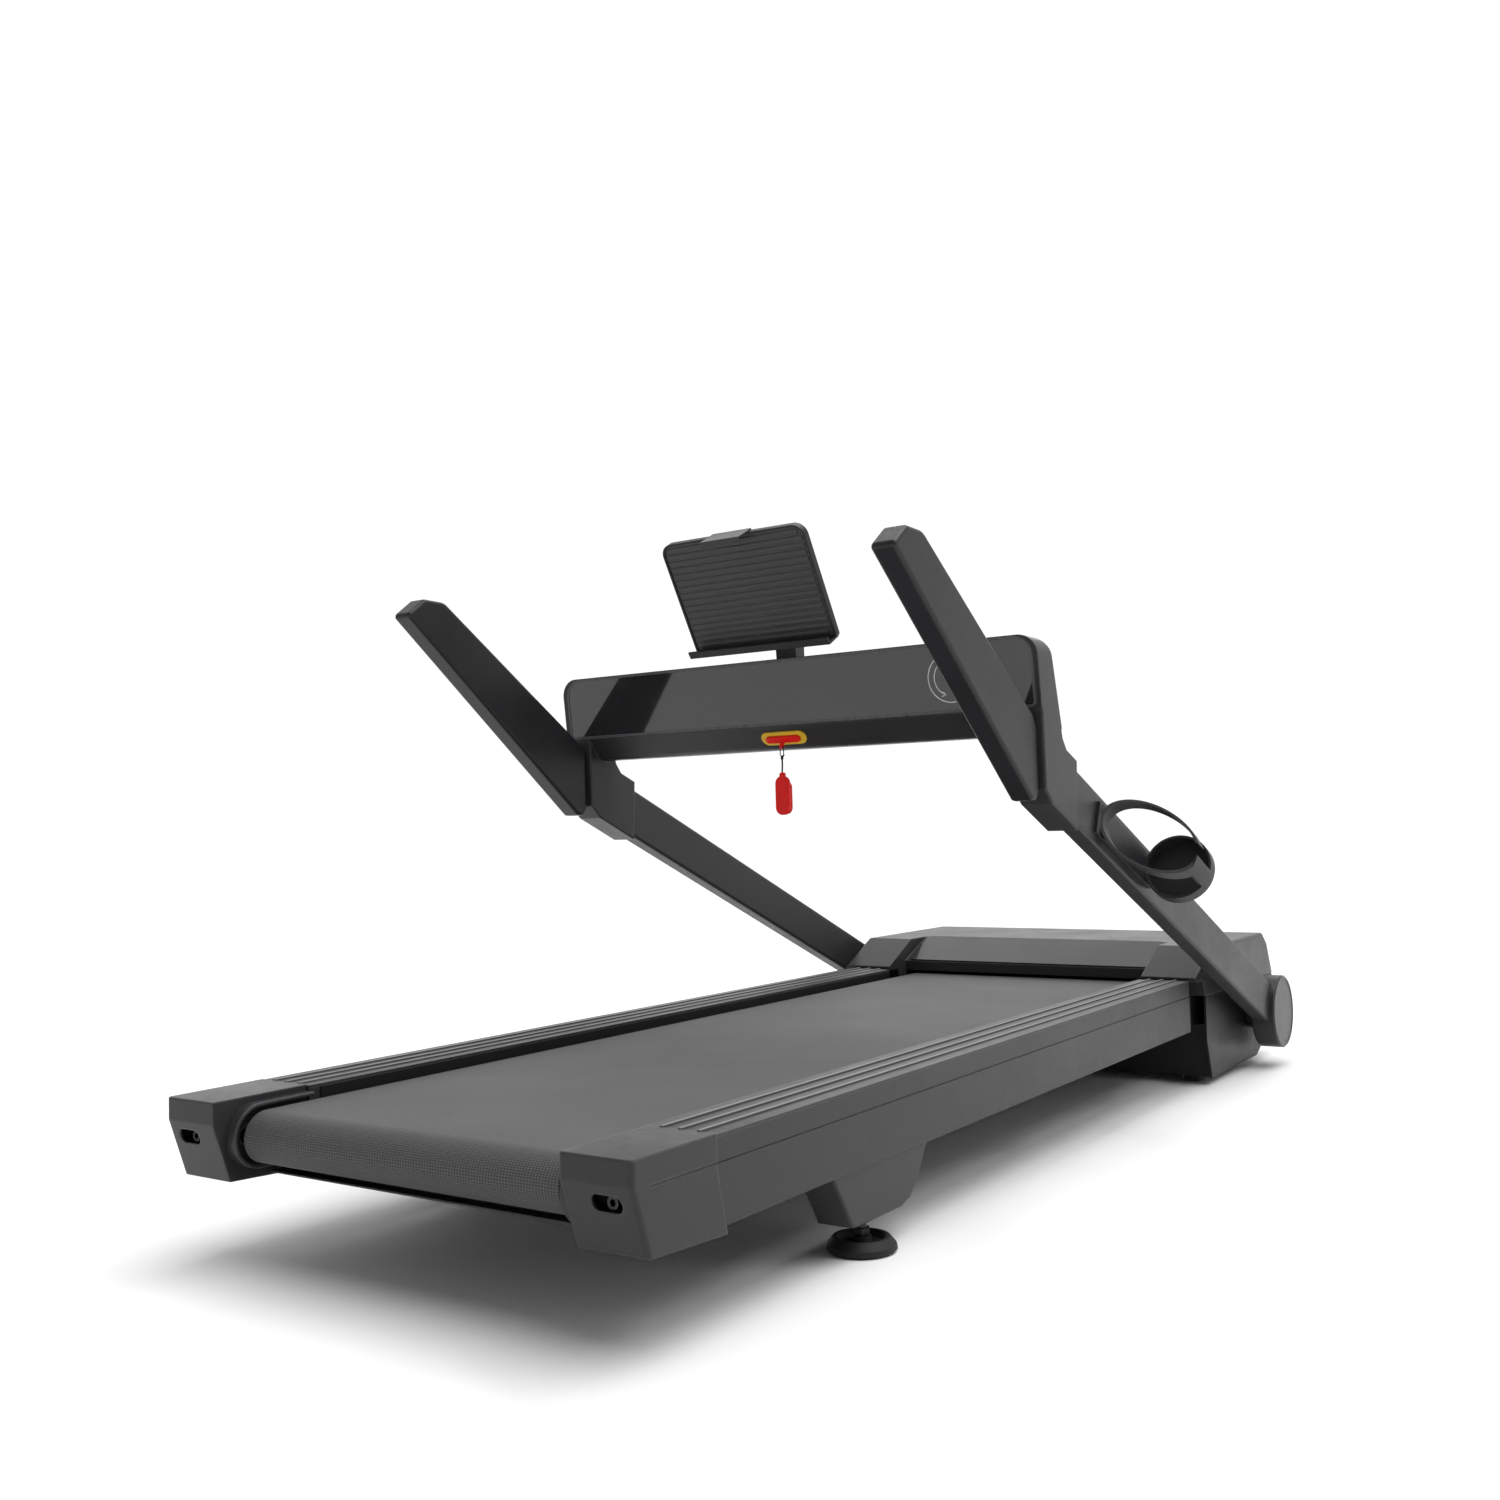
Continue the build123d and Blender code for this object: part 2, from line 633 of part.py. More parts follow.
def belt_hoop(first_radius, second_radius):
    """Outline of a band round two pulleys: both circles and the ribbon between their tangents."""
    lean = (first_radius - second_radius) / drive_reach
    up = (1 - lean * lean) ** 0.5
    with BuildSketch() as hoop:
        Circle(first_radius)
        with Locations((drive_reach, 0)):
            Circle(second_radius)
        with BuildLine():
            Polyline((first_radius * lean, first_radius * up),
                     (drive_reach + second_radius * lean, second_radius * up),
                     (drive_reach + second_radius * lean, -second_radius * up),
                     (first_radius * lean, -first_radius * up), close=True)
        make_face()
    return hoop.sketch


belt_plane = Plane(origin=(-pulley_outer + 1, front_roller_y, roller_z),
                   x_dir=(0, cos(radians(drive_tilt)), sin(radians(drive_tilt))), z_dir=(1, 0, 0))
with BuildPart() as drive_belt:
    with BuildSketch(belt_plane):
        add(belt_hoop(pulley_radius + roller_gap + band, motor_pulley_radius + roller_gap + band))
        add(belt_hoop(pulley_radius + roller_gap, motor_pulley_radius + roller_gap), mode=Mode.SUBTRACT)
    extrude(amount=14)
keep(drive_belt.part, "drive_belt")

with BuildPart() as motor_controller:
    with BuildSketch(Plane.XY.offset(base_z + 3.5)):
        with Locations((190, 1740)):
            RectangleRounded(110, 150, 5)
    extrude(amount=34)
    for fin in range(9):
        with BuildSketch(Plane.XY.offset(base_z + 37.5)):
            with Locations((150 + fin * 10, 1740)):
                Rectangle(3, 140)
        extrude(amount=18)
keep(motor_controller.part, "motor_controller")

rocker_y = skirt_nose - 10
with BuildPart() as power_inlet:
    with BuildSketch(Plane.XZ.offset(-(skirt_nose - 30))):
        with Locations((-220, 102)):
            Rectangle(27, 21)
    extrude(amount=-30)
    with BuildSketch(Plane.XZ.offset(-skirt_nose)):
        with Locations((-220, 102)):
            Rectangle(30, 24)
            Rectangle(22, 16, mode=Mode.SUBTRACT)
    extrude(amount=-2)
    with BuildSketch(Plane.XZ.offset(-(skirt_nose - 18))):
        with Locations((-220, 102)):
            Rectangle(22, 16)
    extrude(amount=-25, mode=Mode.SUBTRACT)
    with BuildSketch(Plane.XZ.offset(-(skirt_nose - 20))):
        with Locations((-227, 100), (-213, 100), (-220, 105)):
            Rectangle(2, 4)
    extrude(amount=-16)
    with BuildSketch(Plane.XZ.offset(-(skirt_nose - 24))):
        with Locations((-170, 102)):
            Rectangle(23.5, 17.5)
            Rectangle(19, 13, mode=Mode.SUBTRACT)
    extrude(amount=-26)
    with BuildSketch(Plane.XY.offset(92)):
        with Locations((-170, rocker_y)):
            Circle(1.2 + running_fit)
    extrude(amount=20, mode=Mode.SUBTRACT)
keep(power_inlet.part, "power_inlet")

rocker_plane = Plane(origin=(-170, rocker_y, 96), x_dir=(cos(radians(7)), sin(radians(7)), 0),
                     z_dir=(0, 0, 1))
with BuildPart() as power_switch:
    with BuildSketch(rocker_plane):
        with BuildLine():
            Polyline((-4, -5), (-7.8, 5), (-7.8, 12.5), (0, 10.5), (7.8, 12.5), (7.8, 5), (4, -5), close=True)
        make_face()
    extrude(amount=12)
    with BuildSketch(rocker_plane.offset(-1.7)):
        Circle(1.2)
    extrude(amount=15.4)
keep(power_switch.part, "power_switch")

# ---------------------------------------------------------------- hubs and uprights
barrel_inner = 366.0
hub_cap_outer = 408.0
lean_cos = cos(radians(upright_angle))
lean_sin = sin(radians(upright_angle))
upright_end = 1105.0        # far end of the tube, measured from the hub along the tube

with BuildPart() as hub_barrel:
    with BuildSketch(side_plane(barrel_inner)):
        with Locations((hub_y, hub_z)):
            Circle(hub_radius)
            Circle(pin_radius + running_fit, mode=Mode.SUBTRACT)
    extrude(amount=hub_outer - barrel_inner)
    chamfer(hub_barrel.edges().group_by(Axis.X)[0].sort_by(SortBy.LENGTH)[-1], 2)
keep_both(hub_barrel.part, "hub_barrels")

with BuildPart() as hub_cap:
    with BuildSketch(side_plane(hub_outer)):
        with Locations((hub_y, hub_z)):
            Circle(hub_radius)
    extrude(amount=hub_cap_outer - hub_outer)
    chamfer(hub_cap.edges().sort_by(Axis.X)[-1], 2.5)
    with BuildSketch(side_plane(hub_cap_outer)):
        with Locations((hub_y, hub_z)):
            Circle(hub_radius - 7)
    extrude(amount=-0.8, mode=Mode.SUBTRACT)
keep_both(hub_cap.part, "hub_caps")


def along(distance, x):
    """Plane square to the upright at a distance from the hub: local x is +X and local y is its upper side."""
    return Plane(origin=(x, hub_y - distance * lean_cos, hub_z + distance * lean_sin),
                 x_dir=(1, 0, 0), z_dir=(0, -lean_cos, lean_sin))


upright_x = (upright_inner + upright_outer) / 2
upright_width = upright_outer - upright_inner

with BuildPart() as upright:
    with BuildSketch(along(30, upright_x)):
        RectangleRounded(upright_width, upright_depth, 5)
        RectangleRounded(upright_width - 2 * upright_wall, upright_depth - 2 * upright_wall, 3,
                         mode=Mode.SUBTRACT)
    extrude(amount=upright_end - 30)
    with BuildSketch(side_plane(upright_inner - 1)):
        with Locations((hub_y, hub_z)):
            Circle(hub_radius)
    extrude(amount=upright_width + 2, mode=Mode.SUBTRACT)
keep_pair(upright.part, "upright")

# ---------------------------------------------------------------- console
face_top = (751.0, deck_top + 522)
face_low = (762.0, deck_top + 427)
chin = (787.0, deck_top + 394)
bar_outline = [face_top, face_low, chin, (816, deck_top + 394), (825, deck_top + 402),
               (798, deck_top + 505), (790, deck_top + 522)]
bar_void = [(764, deck_top + 514), (773, deck_top + 430), (792, deck_top + 402), (812, deck_top + 402),
            (817, deck_top + 408), (792, deck_top + 503), (786, deck_top + 514)]
leg_outline = [(763, deck_top + 424), (766, deck_top + 322), (786, deck_top + 303), (869, deck_top + 267),
               (874, deck_top + 361), (840, deck_top + 375), (828, deck_top + 390), (811, deck_top + 455),
               (790, deck_top + 455)]
face_height = hypot(face_low[0] - face_top[0], face_top[1] - face_low[1])
face_up = ((face_top[0] - face_low[0]) / face_height, (face_top[1] - face_low[1]) / face_height)
face_plane = Plane(origin=(0, (face_top[0] + face_low[0]) / 2, (face_top[1] + face_low[1]) / 2),
                   x_dir=(1, 0, 0), z_dir=(0, -face_up[1], face_up[0]))
glass_width = 2 * console_half - 22
glass_height = face_height - 9
glass_thickness = 3.0
bezel_width = 3.5


def glass_shape(margin):
    """Outline of the console's glass, grown by a margin."""
    with BuildSketch() as shape:
        Rectangle(glass_width + 2 * margin, glass_height + 2 * margin)
        fillet(shape.vertices().group_by(Axis.Y)[-1], 24 + margin)
        fillet(shape.vertices().group_by(Axis.Y)[0], 4 + margin)
    return shape.sketch


facet = hypot(chin[0] - face_low[0], face_low[1] - chin[1])
facet_up = ((face_low[0] - chin[0]) / facet, (face_low[1] - chin[1]) / facet)
key_plane = Plane(origin=(0, (chin[0] + face_low[0]) / 2, (chin[1] + face_low[1]) / 2),
                  x_dir=(1, 0, 0), z_dir=(0, -facet_up[1], facet_up[0]))
key_slot_width = 58.0
key_slot_height = 11.0

core_outline = [(470, deck_top + 566), (488, deck_top + 590), (766, deck_top + 400), (766, deck_top + 340)]
core_inner = 372.0
core_outer = 388.0

with BuildPart() as console_leg:
    add(side_slab(leg_outline, leg_inner, console_half))
    fillet(console_leg.faces().sort_by(Axis.X)[-1].outer_wire().edges(), 3)
    fillet(console_leg.faces().sort_by(Axis.X)[0].outer_wire().edges(), 2)

with BuildPart() as console_housing:
    add(side_slab(bar_outline, -console_half, console_half))
    chin_edge = console_housing.edges().filter_by(Axis.X).filter_by(
        lambda e: abs(e.center().Y - chin[0]) < 1 and abs(e.center().Z - chin[1]) < 1)
    fillet(chin_edge, 16)
    top_corners = console_housing.edges().filter_by(lambda e: abs(abs(e.center().X) - console_half) < 0.1
                                                    and e.center().Z > deck_top + 521)
    fillet(top_corners, 27)
    for side in (-1, 1):
        add(console_leg.part if side > 0 else console_leg.part.mirror(Plane.YZ))
    throat = console_housing.edges().filter_by(Axis.X).filter_by(
        lambda e: abs(e.center().Y - 828) < 1 and abs(e.center().Z - deck_top - 390) < 1)
    fillet(throat, 16)
    add(side_slab(bar_void, -leg_inner + 14, leg_inner - 14), mode=Mode.SUBTRACT)
    with BuildSketch(face_plane):
        add(glass_shape(bezel_width + 0.2))
    extrude(amount=-glass_thickness - 1.5, mode=Mode.SUBTRACT)
    with BuildSketch(face_plane):
        Rectangle(glass_width - 110, glass_height - 16)
    extrude(amount=-20, mode=Mode.SUBTRACT)
    with BuildSketch(key_plane):
        SlotOverall(key_slot_width, key_slot_height)
    extrude(amount=-16, mode=Mode.SUBTRACT)
    for side in (-1, 1):
        with BuildSketch(along(upright_end - 140, side * upright_x)):
            Rectangle(upright_width, upright_depth)
        extrude(amount=140.5, mode=Mode.SUBTRACT)
        add(side_slab(core_outline, side * core_inner, side * core_outer), mode=Mode.SUBTRACT)
keep(console_housing.part, "console_housing")

with BuildPart() as console_bezel:
    with BuildSketch(face_plane.offset(-glass_thickness - 1.5)):
        add(glass_shape(bezel_width))
        add(glass_shape(0.2), mode=Mode.SUBTRACT)
    extrude(amount=glass_thickness + 1.3)
keep(console_bezel.part, "console_bezel")

with BuildPart() as console_glass:
    with BuildSketch(face_plane.offset(-glass_thickness - 1)):
        add(glass_shape(0))
    extrude(amount=glass_thickness)
keep(console_glass.part, "console_glass")

with BuildPart() as display_module:
    with BuildSketch(face_plane.offset(-glass_thickness - 1)):
        Rectangle(glass_width - 130, glass_height - 26)
    extrude(amount=-5)
keep(display_module.part, "display_module")

# ---------------------------------------------------------------- handles
handle_end_y = 761.0
handle_outline = [(394, deck_top + 588), (427, deck_top + 613), (465, deck_top + 612),
                  (750, deck_top + 419), (handle_end_y, deck_top + 402), (handle_end_y, deck_top + 318),
                  (752, deck_top + 307), (741, deck_top + 308)]
with BuildPart() as handle:
    with BuildSketch(side_plane(handle_inner)) as handle_side:
        with BuildLine():
            Polyline(*handle_outline, close=True)
        make_face()
        far_corner = handle_side.vertices().sort_by_distance((465, deck_top + 612))[0]
        fillet(far_corner, 24)
        fillet(handle_side.vertices().filter_by(lambda v: v.X < 440 or v.X > 735), 6)
    extrude(amount=handle_outer - handle_inner)
    fillet(handle.edges().filter_by(lambda e: e.center().X > handle_outer - 0.1
                                    or e.center().X < handle_inner + 0.1), 5)
    add(side_slab(core_outline, core_inner, core_outer), mode=Mode.SUBTRACT)
keep_pair(handle.part, "handle")
keep_both(side_slab(core_outline, core_inner, core_outer), "handle_cores")

# ---------------------------------------------------------------- tablet holder
tilt_y = 727.5
tilt_z = deck_top + 589.5
tilt_radius = 9.0
tilt_pin = 4.0
plate_low_y = 731.0
plate_low_z = deck_top + 539.5
plate_up_y = -sin(radians(tablet_lean))
plate_up_z = cos(radians(tablet_lean))
plate_plane = Plane(origin=(0, plate_low_y, plate_low_z), x_dir=(1, 0, 0), z_dir=(0, -plate_up_z, plate_up_y))
tilt_climb = (tilt_y - plate_low_y) * plate_up_y + (tilt_z - plate_low_z) * plate_up_z
tilt_setback = (tilt_y - plate_low_y) * plate_up_z - (tilt_z - plate_low_z) * plate_up_y
neck_half = 17.0
knuckle_half = 8.7
plate_rim = 3.0
rib_count = 16
rib_margin = 7.0
recess_depth = 3.0
ledge_reach = 21.0
ledge_thickness = 3.0
lip_height = 11.0
clip_width = 64.0
clip_reach = 26.0
clip_steel = 1.8
clip_gap = 0.3


def plate_side(x):
    """Plane facing +X on the tablet plate: local x climbs the plate, local y stands out of its front."""
    return Plane(origin=(x, plate_low_y, plate_low_z), x_dir=(0, plate_up_y, plate_up_z), z_dir=(1, 0, 0))


def plate_shape(margin):
    """Outline of the tablet plate, drawn in by a margin: wide corners at the top, tight ones at the foot."""
    with BuildSketch() as shape:
        with Locations((0, tablet_height / 2)):
            Rectangle(tablet_width - 2 * margin, tablet_height - 2 * margin)
        fillet(shape.vertices().group_by(Axis.Y)[-1], 18 - margin)
        fillet(shape.vertices().group_by(Axis.Y)[0], 5 - margin)
    return shape.sketch


with BuildPart() as tablet_neck:
    with BuildSketch(side_plane(-neck_half)):
        with BuildLine():
            Polyline((786, deck_top + 522), (790, deck_top + 522), (798, deck_top + 505),
                     (802, deck_top + 490), (809, deck_top + 491), (808, deck_top + 545),
                     (tilt_y + 6.3, tilt_z + 6.5),
                     (tilt_y - 6.3, tilt_z - 6.5), (784, deck_top + 541), close=True)
        make_face()
        with Locations((tilt_y, tilt_z)):
            Circle(tilt_radius)
    extrude(amount=2 * neck_half)
    with BuildSketch(side_plane(-knuckle_half - 0.3)):
        with Locations((tilt_y, tilt_z)):
            Circle(tilt_radius + 12)
            Circle(tilt_pin, mode=Mode.SUBTRACT)
    extrude(amount=2 * knuckle_half + 0.6, mode=Mode.SUBTRACT)
keep(tablet_neck.part, "tablet_neck")

with BuildPart() as tablet_plate:
    with BuildSketch(plate_plane):
        add(plate_shape(0))
    extrude(amount=-tablet_thickness)
    with BuildSketch(plate_plane):
        add(plate_shape(plate_rim))
    extrude(amount=-recess_depth, mode=Mode.SUBTRACT)
    # ledge along the bottom with an upturned lip
    with BuildSketch(plate_side(-tablet_width / 2 + 1.5)):
        with BuildLine():
            Polyline((0, -tablet_thickness + 2), (0, ledge_reach - 1), (1, ledge_reach),
                     (lip_height - 1, ledge_reach + 1), (lip_height, ledge_reach),
                     (lip_height, ledge_reach - 2), (ledge_thickness, ledge_reach - 3),
                     (ledge_thickness, -tablet_thickness + 2), close=True)
        make_face()
    extrude(amount=tablet_width - 3)
    # knuckle that turns on the neck's pin
    with BuildSketch(plate_side(-knuckle_half)):
        with BuildLine():
            Polyline((tilt_climb - tilt_radius, -tilt_setback), (tilt_climb + tilt_radius, -tilt_setback),
                     (tilt_climb + 18, -tablet_thickness + 3),
                     (tilt_climb - 12, -tablet_thickness + 3), close=True)
        make_face()
        with Locations((tilt_climb, -tilt_setback)):
            Circle(tilt_radius)
            Circle(tilt_pin + running_fit, mode=Mode.SUBTRACT)
    extrude(amount=2 * knuckle_half)
keep(tablet_plate.part, "tablet_plate")

mat_gap = 0.2
mat_width = tablet_width - 2 * (plate_rim + mat_gap)
mat_height = tablet_height - 2 * (plate_rim + mat_gap)
rib_pitch = (mat_height - 2 * rib_margin) / (rib_count - 1)
with BuildPart() as tablet_mat:
    with BuildSketch(plate_plane.offset(-recess_depth)):
        add(plate_shape(plate_rim + mat_gap))
    extrude(amount=1.2)
    for rib in range(rib_count):
        rib_climb = (tablet_height - mat_height) / 2 + rib_margin + rib * rib_pitch
        rib_half = mat_width / 2 - (8 if rib in (0, rib_count - 1) else 3)
        with BuildSketch(plate_side(-rib_half)):
            with Locations((rib_climb, 1.2 - recess_depth)):
                Ellipse(rib_pitch * 0.42, 1.5)
        extrude(amount=2 * rib_half)
    with BuildSketch(plate_plane.offset(-recess_depth)):
        with Locations((0, tablet_height / 2)):
            Rectangle(tablet_width, tablet_height)
    extrude(amount=-4, mode=Mode.SUBTRACT)
keep(tablet_mat.part, "tablet_mat")

clip_over = tablet_height + clip_gap
clip_behind = -tablet_thickness - clip_gap
with BuildPart() as tablet_clip:
    # spine behind the plate, shelf over its top and a short lip that turns down
    with BuildSketch(plate_side(-clip_width / 2)):
        with BuildLine():
            Polyline((clip_over - 7, clip_reach + 0.6), (clip_over + 1, clip_reach - 3), (clip_over, 0),
                     (clip_over, clip_behind), (clip_over - 64, clip_behind),
                     (clip_over - 64, clip_behind - clip_steel),
                     (clip_over + clip_steel, clip_behind - clip_steel), (clip_over + clip_steel, 0),
                     (clip_over + 3, clip_reach - 2), (clip_over - 6, clip_reach + 2.5), close=True)
        make_face()
    extrude(amount=clip_width)
    fillet(tablet_clip.edges().filter_by(Axis.X).sort_by(Axis.Z)[-1], 1.2)
keep(tablet_clip.part, "tablet_clip")

# ---------------------------------------------------------------- safety key and lanyard
key_axis = Axis(key_plane.origin, key_plane.z_dir)
key_fit = 0.3
key_reach = 12.0
hang_y = 767.0
hang_z = deck_top + 398.0
ring_length = 16.0
ring_width = 7.4
ring_wire = 1.5
eye_half = 1.5
cord_radius = 1.2
clip_top = deck_top + 355.0
garment_width = 24.0
garment_length = 56.0
jaw_pin_y = hang_y + 5.2
jaw_pin_z = clip_top - 24.0

with BuildPart() as key_socket:
    with BuildSketch(key_plane):
        SlotOverall(76, 22)
        SlotOverall(key_slot_width, key_slot_height, mode=Mode.SUBTRACT)
    extrude(amount=3)
    chamfer(key_socket.faces().sort_by(key_axis)[-1].outer_wire().edges(), 0.8)
keep(key_socket.part, "key_socket")

with BuildPart() as safety_key:
    with BuildSketch(key_plane.offset(-key_reach)):
        SlotOverall(key_slot_width - 2 * key_fit, key_slot_height - 2 * key_fit)
    extrude(amount=key_reach + 7)
    chamfer(safety_key.faces().sort_by(key_axis)[-1].edges(), 0.8)
    # eye that the metal ring hangs in
    with BuildSketch(side_plane(-eye_half)):
        with BuildLine():
            Polyline((hang_y - 3.4, hang_z - 2.4), (hang_y - 2.5, hang_z + 3.4), (768, deck_top + 410),
                     (774, deck_top + 405), (hang_y + 2, hang_z - 3.7), close=True)
        make_face()
        with Locations((hang_y, hang_z)):
            Circle(4.2)
            Circle(1.7, mode=Mode.SUBTRACT)
    extrude(amount=2 * eye_half)
keep(safety_key.part, "safety_key")

with BuildPart() as key_cord:
    with BuildSketch(cross_plane(hang_y - ring_wire / 2)):
        with Locations((0, hang_z + ring_wire / 2 - ring_length / 2)):
            SlotOverall(ring_length, ring_width, rotation=90)
            SlotOverall(ring_length - 2 * ring_wire, ring_width - 2 * ring_wire, rotation=90,
                        mode=Mode.SUBTRACT)
    extrude(amount=-ring_wire)
    with BuildSketch(Plane.XY.offset(clip_top - 5)):
        with Locations((0, hang_y)):
            Circle(cord_radius)
    extrude(amount=hang_z + ring_wire - ring_length - clip_top + 4.5)
keep(key_cord.part, "key_cord")

with BuildPart() as garment_clip:
    with BuildSketch(cross_plane(hang_y - 2.4)):
        with Locations((0, clip_top - garment_length / 2)):
            RectangleRounded(garment_width, garment_length, 11)
        # neck that the cord is threaded through
        with Locations((0, clip_top)):
            RectangleRounded(9, 10, 3)
    extrude(amount=-4.2)
    fillet(garment_clip.edges().group_by(Axis.Y)[0], 1.2)
    # ears and pin behind the plate
    with BuildSketch(side_plane(-8)):
        with Locations((jaw_pin_y, jaw_pin_z)):
            Circle(2.4)
        with Locations((hang_y + 3, jaw_pin_z)):
            Rectangle(4.4, 4.8)
    extrude(amount=16)
    with BuildSketch(side_plane(-4)):
        with Locations((jaw_pin_y, jaw_pin_z)):
            Circle(3.4)
            Circle(1, mode=Mode.SUBTRACT)
    extrude(amount=8, mode=Mode.SUBTRACT)
    with BuildSketch(Plane.XY.offset(clip_top - 5)):
        with Locations((0, hang_y)):
            Circle(cord_radius)
    extrude(amount=12, mode=Mode.SUBTRACT)
keep(garment_clip.part, "garment_clip")

with BuildPart() as garment_jaw:
    with BuildSketch(cross_plane(jaw_pin_y - 0.4)):
        with Locations((0, clip_top - garment_length / 2 - 3)):
            RectangleRounded(garment_width - 2, garment_length - 8, 10)
        with Locations((-6, jaw_pin_z), (6, jaw_pin_z)):
            Rectangle(4.8, 8, mode=Mode.SUBTRACT)
    extrude(amount=-3)
    # teeth at the foot that close on the plate
    with BuildSketch(side_plane(-6)):
        with BuildLine():
            Polyline((hang_y + 2.1, clip_top - 48), (jaw_pin_y + 1, clip_top - 44),
                     (jaw_pin_y + 1, clip_top - 52), (hang_y + 2.1, clip_top - 50), close=True)
        make_face()
    extrude(amount=12)
    with BuildSketch(side_plane(-3.7)):
        with Locations((jaw_pin_y, jaw_pin_z)):
            Circle(2.4)
            Circle(1 + running_fit, mode=Mode.SUBTRACT)
    extrude(amount=7.4)
    with BuildSketch(side_plane(-3.7)):
        with Locations((jaw_pin_y, jaw_pin_z)):
            Circle(1 + running_fit)
    extrude(amount=7.4, mode=Mode.SUBTRACT)
keep(garment_jaw.part, "garment_jaw")

# ---------------------------------------------------------------- bottle holder on the right upright
bottle_base = 736.0         # along the upright from the hub
bottle_radius = 49.0
bottle_wall = 3.5
dish_rim = 20.0
holder_back = 5.0
holder_top = 951.0
bottle_x = upright_outer + holder_back + bottle_radius - 2
band_high = 195.0           # middle of the band above the base, beside the upright
band_low = 60.0             # and at its outer end
band_width = 24.0

bottle_front = Plane(origin=along(bottle_base, bottle_x).origin, x_dir=(1, 0, 0),
                     z_dir=(0, -lean_sin, -lean_cos))


def bottle_ring(start, length):
    """Piece of the holder's round wall, from a distance along the upright."""
    with BuildPart() as ring:
        with BuildSketch(along(start, bottle_x)):
            Circle(bottle_radius)
            Circle(bottle_radius - bottle_wall, mode=Mode.SUBTRACT)
        extrude(amount=length)
    return ring.part


with BuildPart() as bottle_band:
    add(bottle_ring(bottle_base, 230))
    with BuildSketch(bottle_front):
        with BuildLine():
            Polyline((-bottle_radius, band_high - band_width / 2), (bottle_radius, band_low - band_width / 2),
                     (bottle_radius, band_low + band_width / 2), (-bottle_radius, band_high + band_width / 2),
                     close=True)
        make_face()
    extrude(amount=bottle_radius + 2, both=True, mode=Mode.INTERSECT)
    # the band stays open on its outer side
    with BuildSketch(along(bottle_base, bottle_x + bottle_radius - 9)):
        with Locations((0, 4)):
            Rectangle(20, 20)
    extrude(amount=120, mode=Mode.SUBTRACT)

with BuildPart() as bottle_strap:
    add(bottle_ring(bottle_base, band_low + 20))
    with BuildSketch(along(bottle_base, bottle_x)):
        with Locations((36, -18)):
            Rectangle(32, 24)
    extrude(amount=band_low + 20, mode=Mode.INTERSECT)

with BuildPart() as bottle_holder:
    with BuildSketch(along(bottle_base, bottle_x)):
        Circle(bottle_radius)
    extrude(amount=3)
    add(bottle_ring(bottle_base, dish_rim))
    add(bottle_band.part)
    add(bottle_strap.part)
    with BuildSketch(along(bottle_base - 10, upright_outer + holder_back / 2)):
        Rectangle(holder_back, 46)
    extrude(amount=holder_top - bottle_base + 10)
keep(bottle_holder.part, "bottle_holder")

# ---------------------------------------------------------------- export
boxes = [piece.bounding_box() for piece in pieces]
middle_x = (min(box.min.X for box in boxes) + max(box.max.X for box in boxes)) / 2
middle_y = (min(box.min.Y for box in boxes) + max(box.max.Y for box in boxes)) / 2
to_origin = Location((-middle_x, -middle_y, -min(box.min.Z for box in boxes)))
for piece in pieces:
    placed = piece.moved(to_origin)
    placed.label = piece.label
    export_step(placed, f"parts/{piece.label}.step")
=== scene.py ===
"""Looks of the treadmill: procedural finishes, small trim pieces, studio light and the camera. Metres."""
import json
import math

import bmesh
import bpy
from mathutils import Matrix, Vector


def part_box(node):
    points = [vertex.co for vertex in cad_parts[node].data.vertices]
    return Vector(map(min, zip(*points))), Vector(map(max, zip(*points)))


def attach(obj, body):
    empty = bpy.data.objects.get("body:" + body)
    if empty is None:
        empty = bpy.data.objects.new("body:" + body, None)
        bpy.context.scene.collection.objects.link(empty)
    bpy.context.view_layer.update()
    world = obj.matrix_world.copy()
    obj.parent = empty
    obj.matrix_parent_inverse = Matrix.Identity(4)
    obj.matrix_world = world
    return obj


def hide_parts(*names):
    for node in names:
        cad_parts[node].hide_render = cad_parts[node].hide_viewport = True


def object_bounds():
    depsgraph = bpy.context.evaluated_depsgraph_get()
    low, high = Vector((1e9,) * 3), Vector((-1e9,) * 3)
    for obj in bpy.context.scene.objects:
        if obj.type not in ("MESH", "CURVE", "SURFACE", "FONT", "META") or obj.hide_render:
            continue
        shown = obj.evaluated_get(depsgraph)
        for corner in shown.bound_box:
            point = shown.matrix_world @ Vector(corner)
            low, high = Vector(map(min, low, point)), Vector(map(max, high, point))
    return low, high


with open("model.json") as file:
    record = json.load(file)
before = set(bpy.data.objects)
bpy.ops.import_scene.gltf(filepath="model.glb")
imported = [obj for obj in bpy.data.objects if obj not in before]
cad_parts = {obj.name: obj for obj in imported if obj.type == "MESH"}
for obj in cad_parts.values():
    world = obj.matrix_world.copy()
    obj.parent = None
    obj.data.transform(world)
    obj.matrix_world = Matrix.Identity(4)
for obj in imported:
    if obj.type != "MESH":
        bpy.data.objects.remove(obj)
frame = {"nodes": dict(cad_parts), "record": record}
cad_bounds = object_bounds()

nodes = frame["nodes"]
slot_of = {part["node"]: part["material_slot"] for part in frame["record"]["subparts"]}


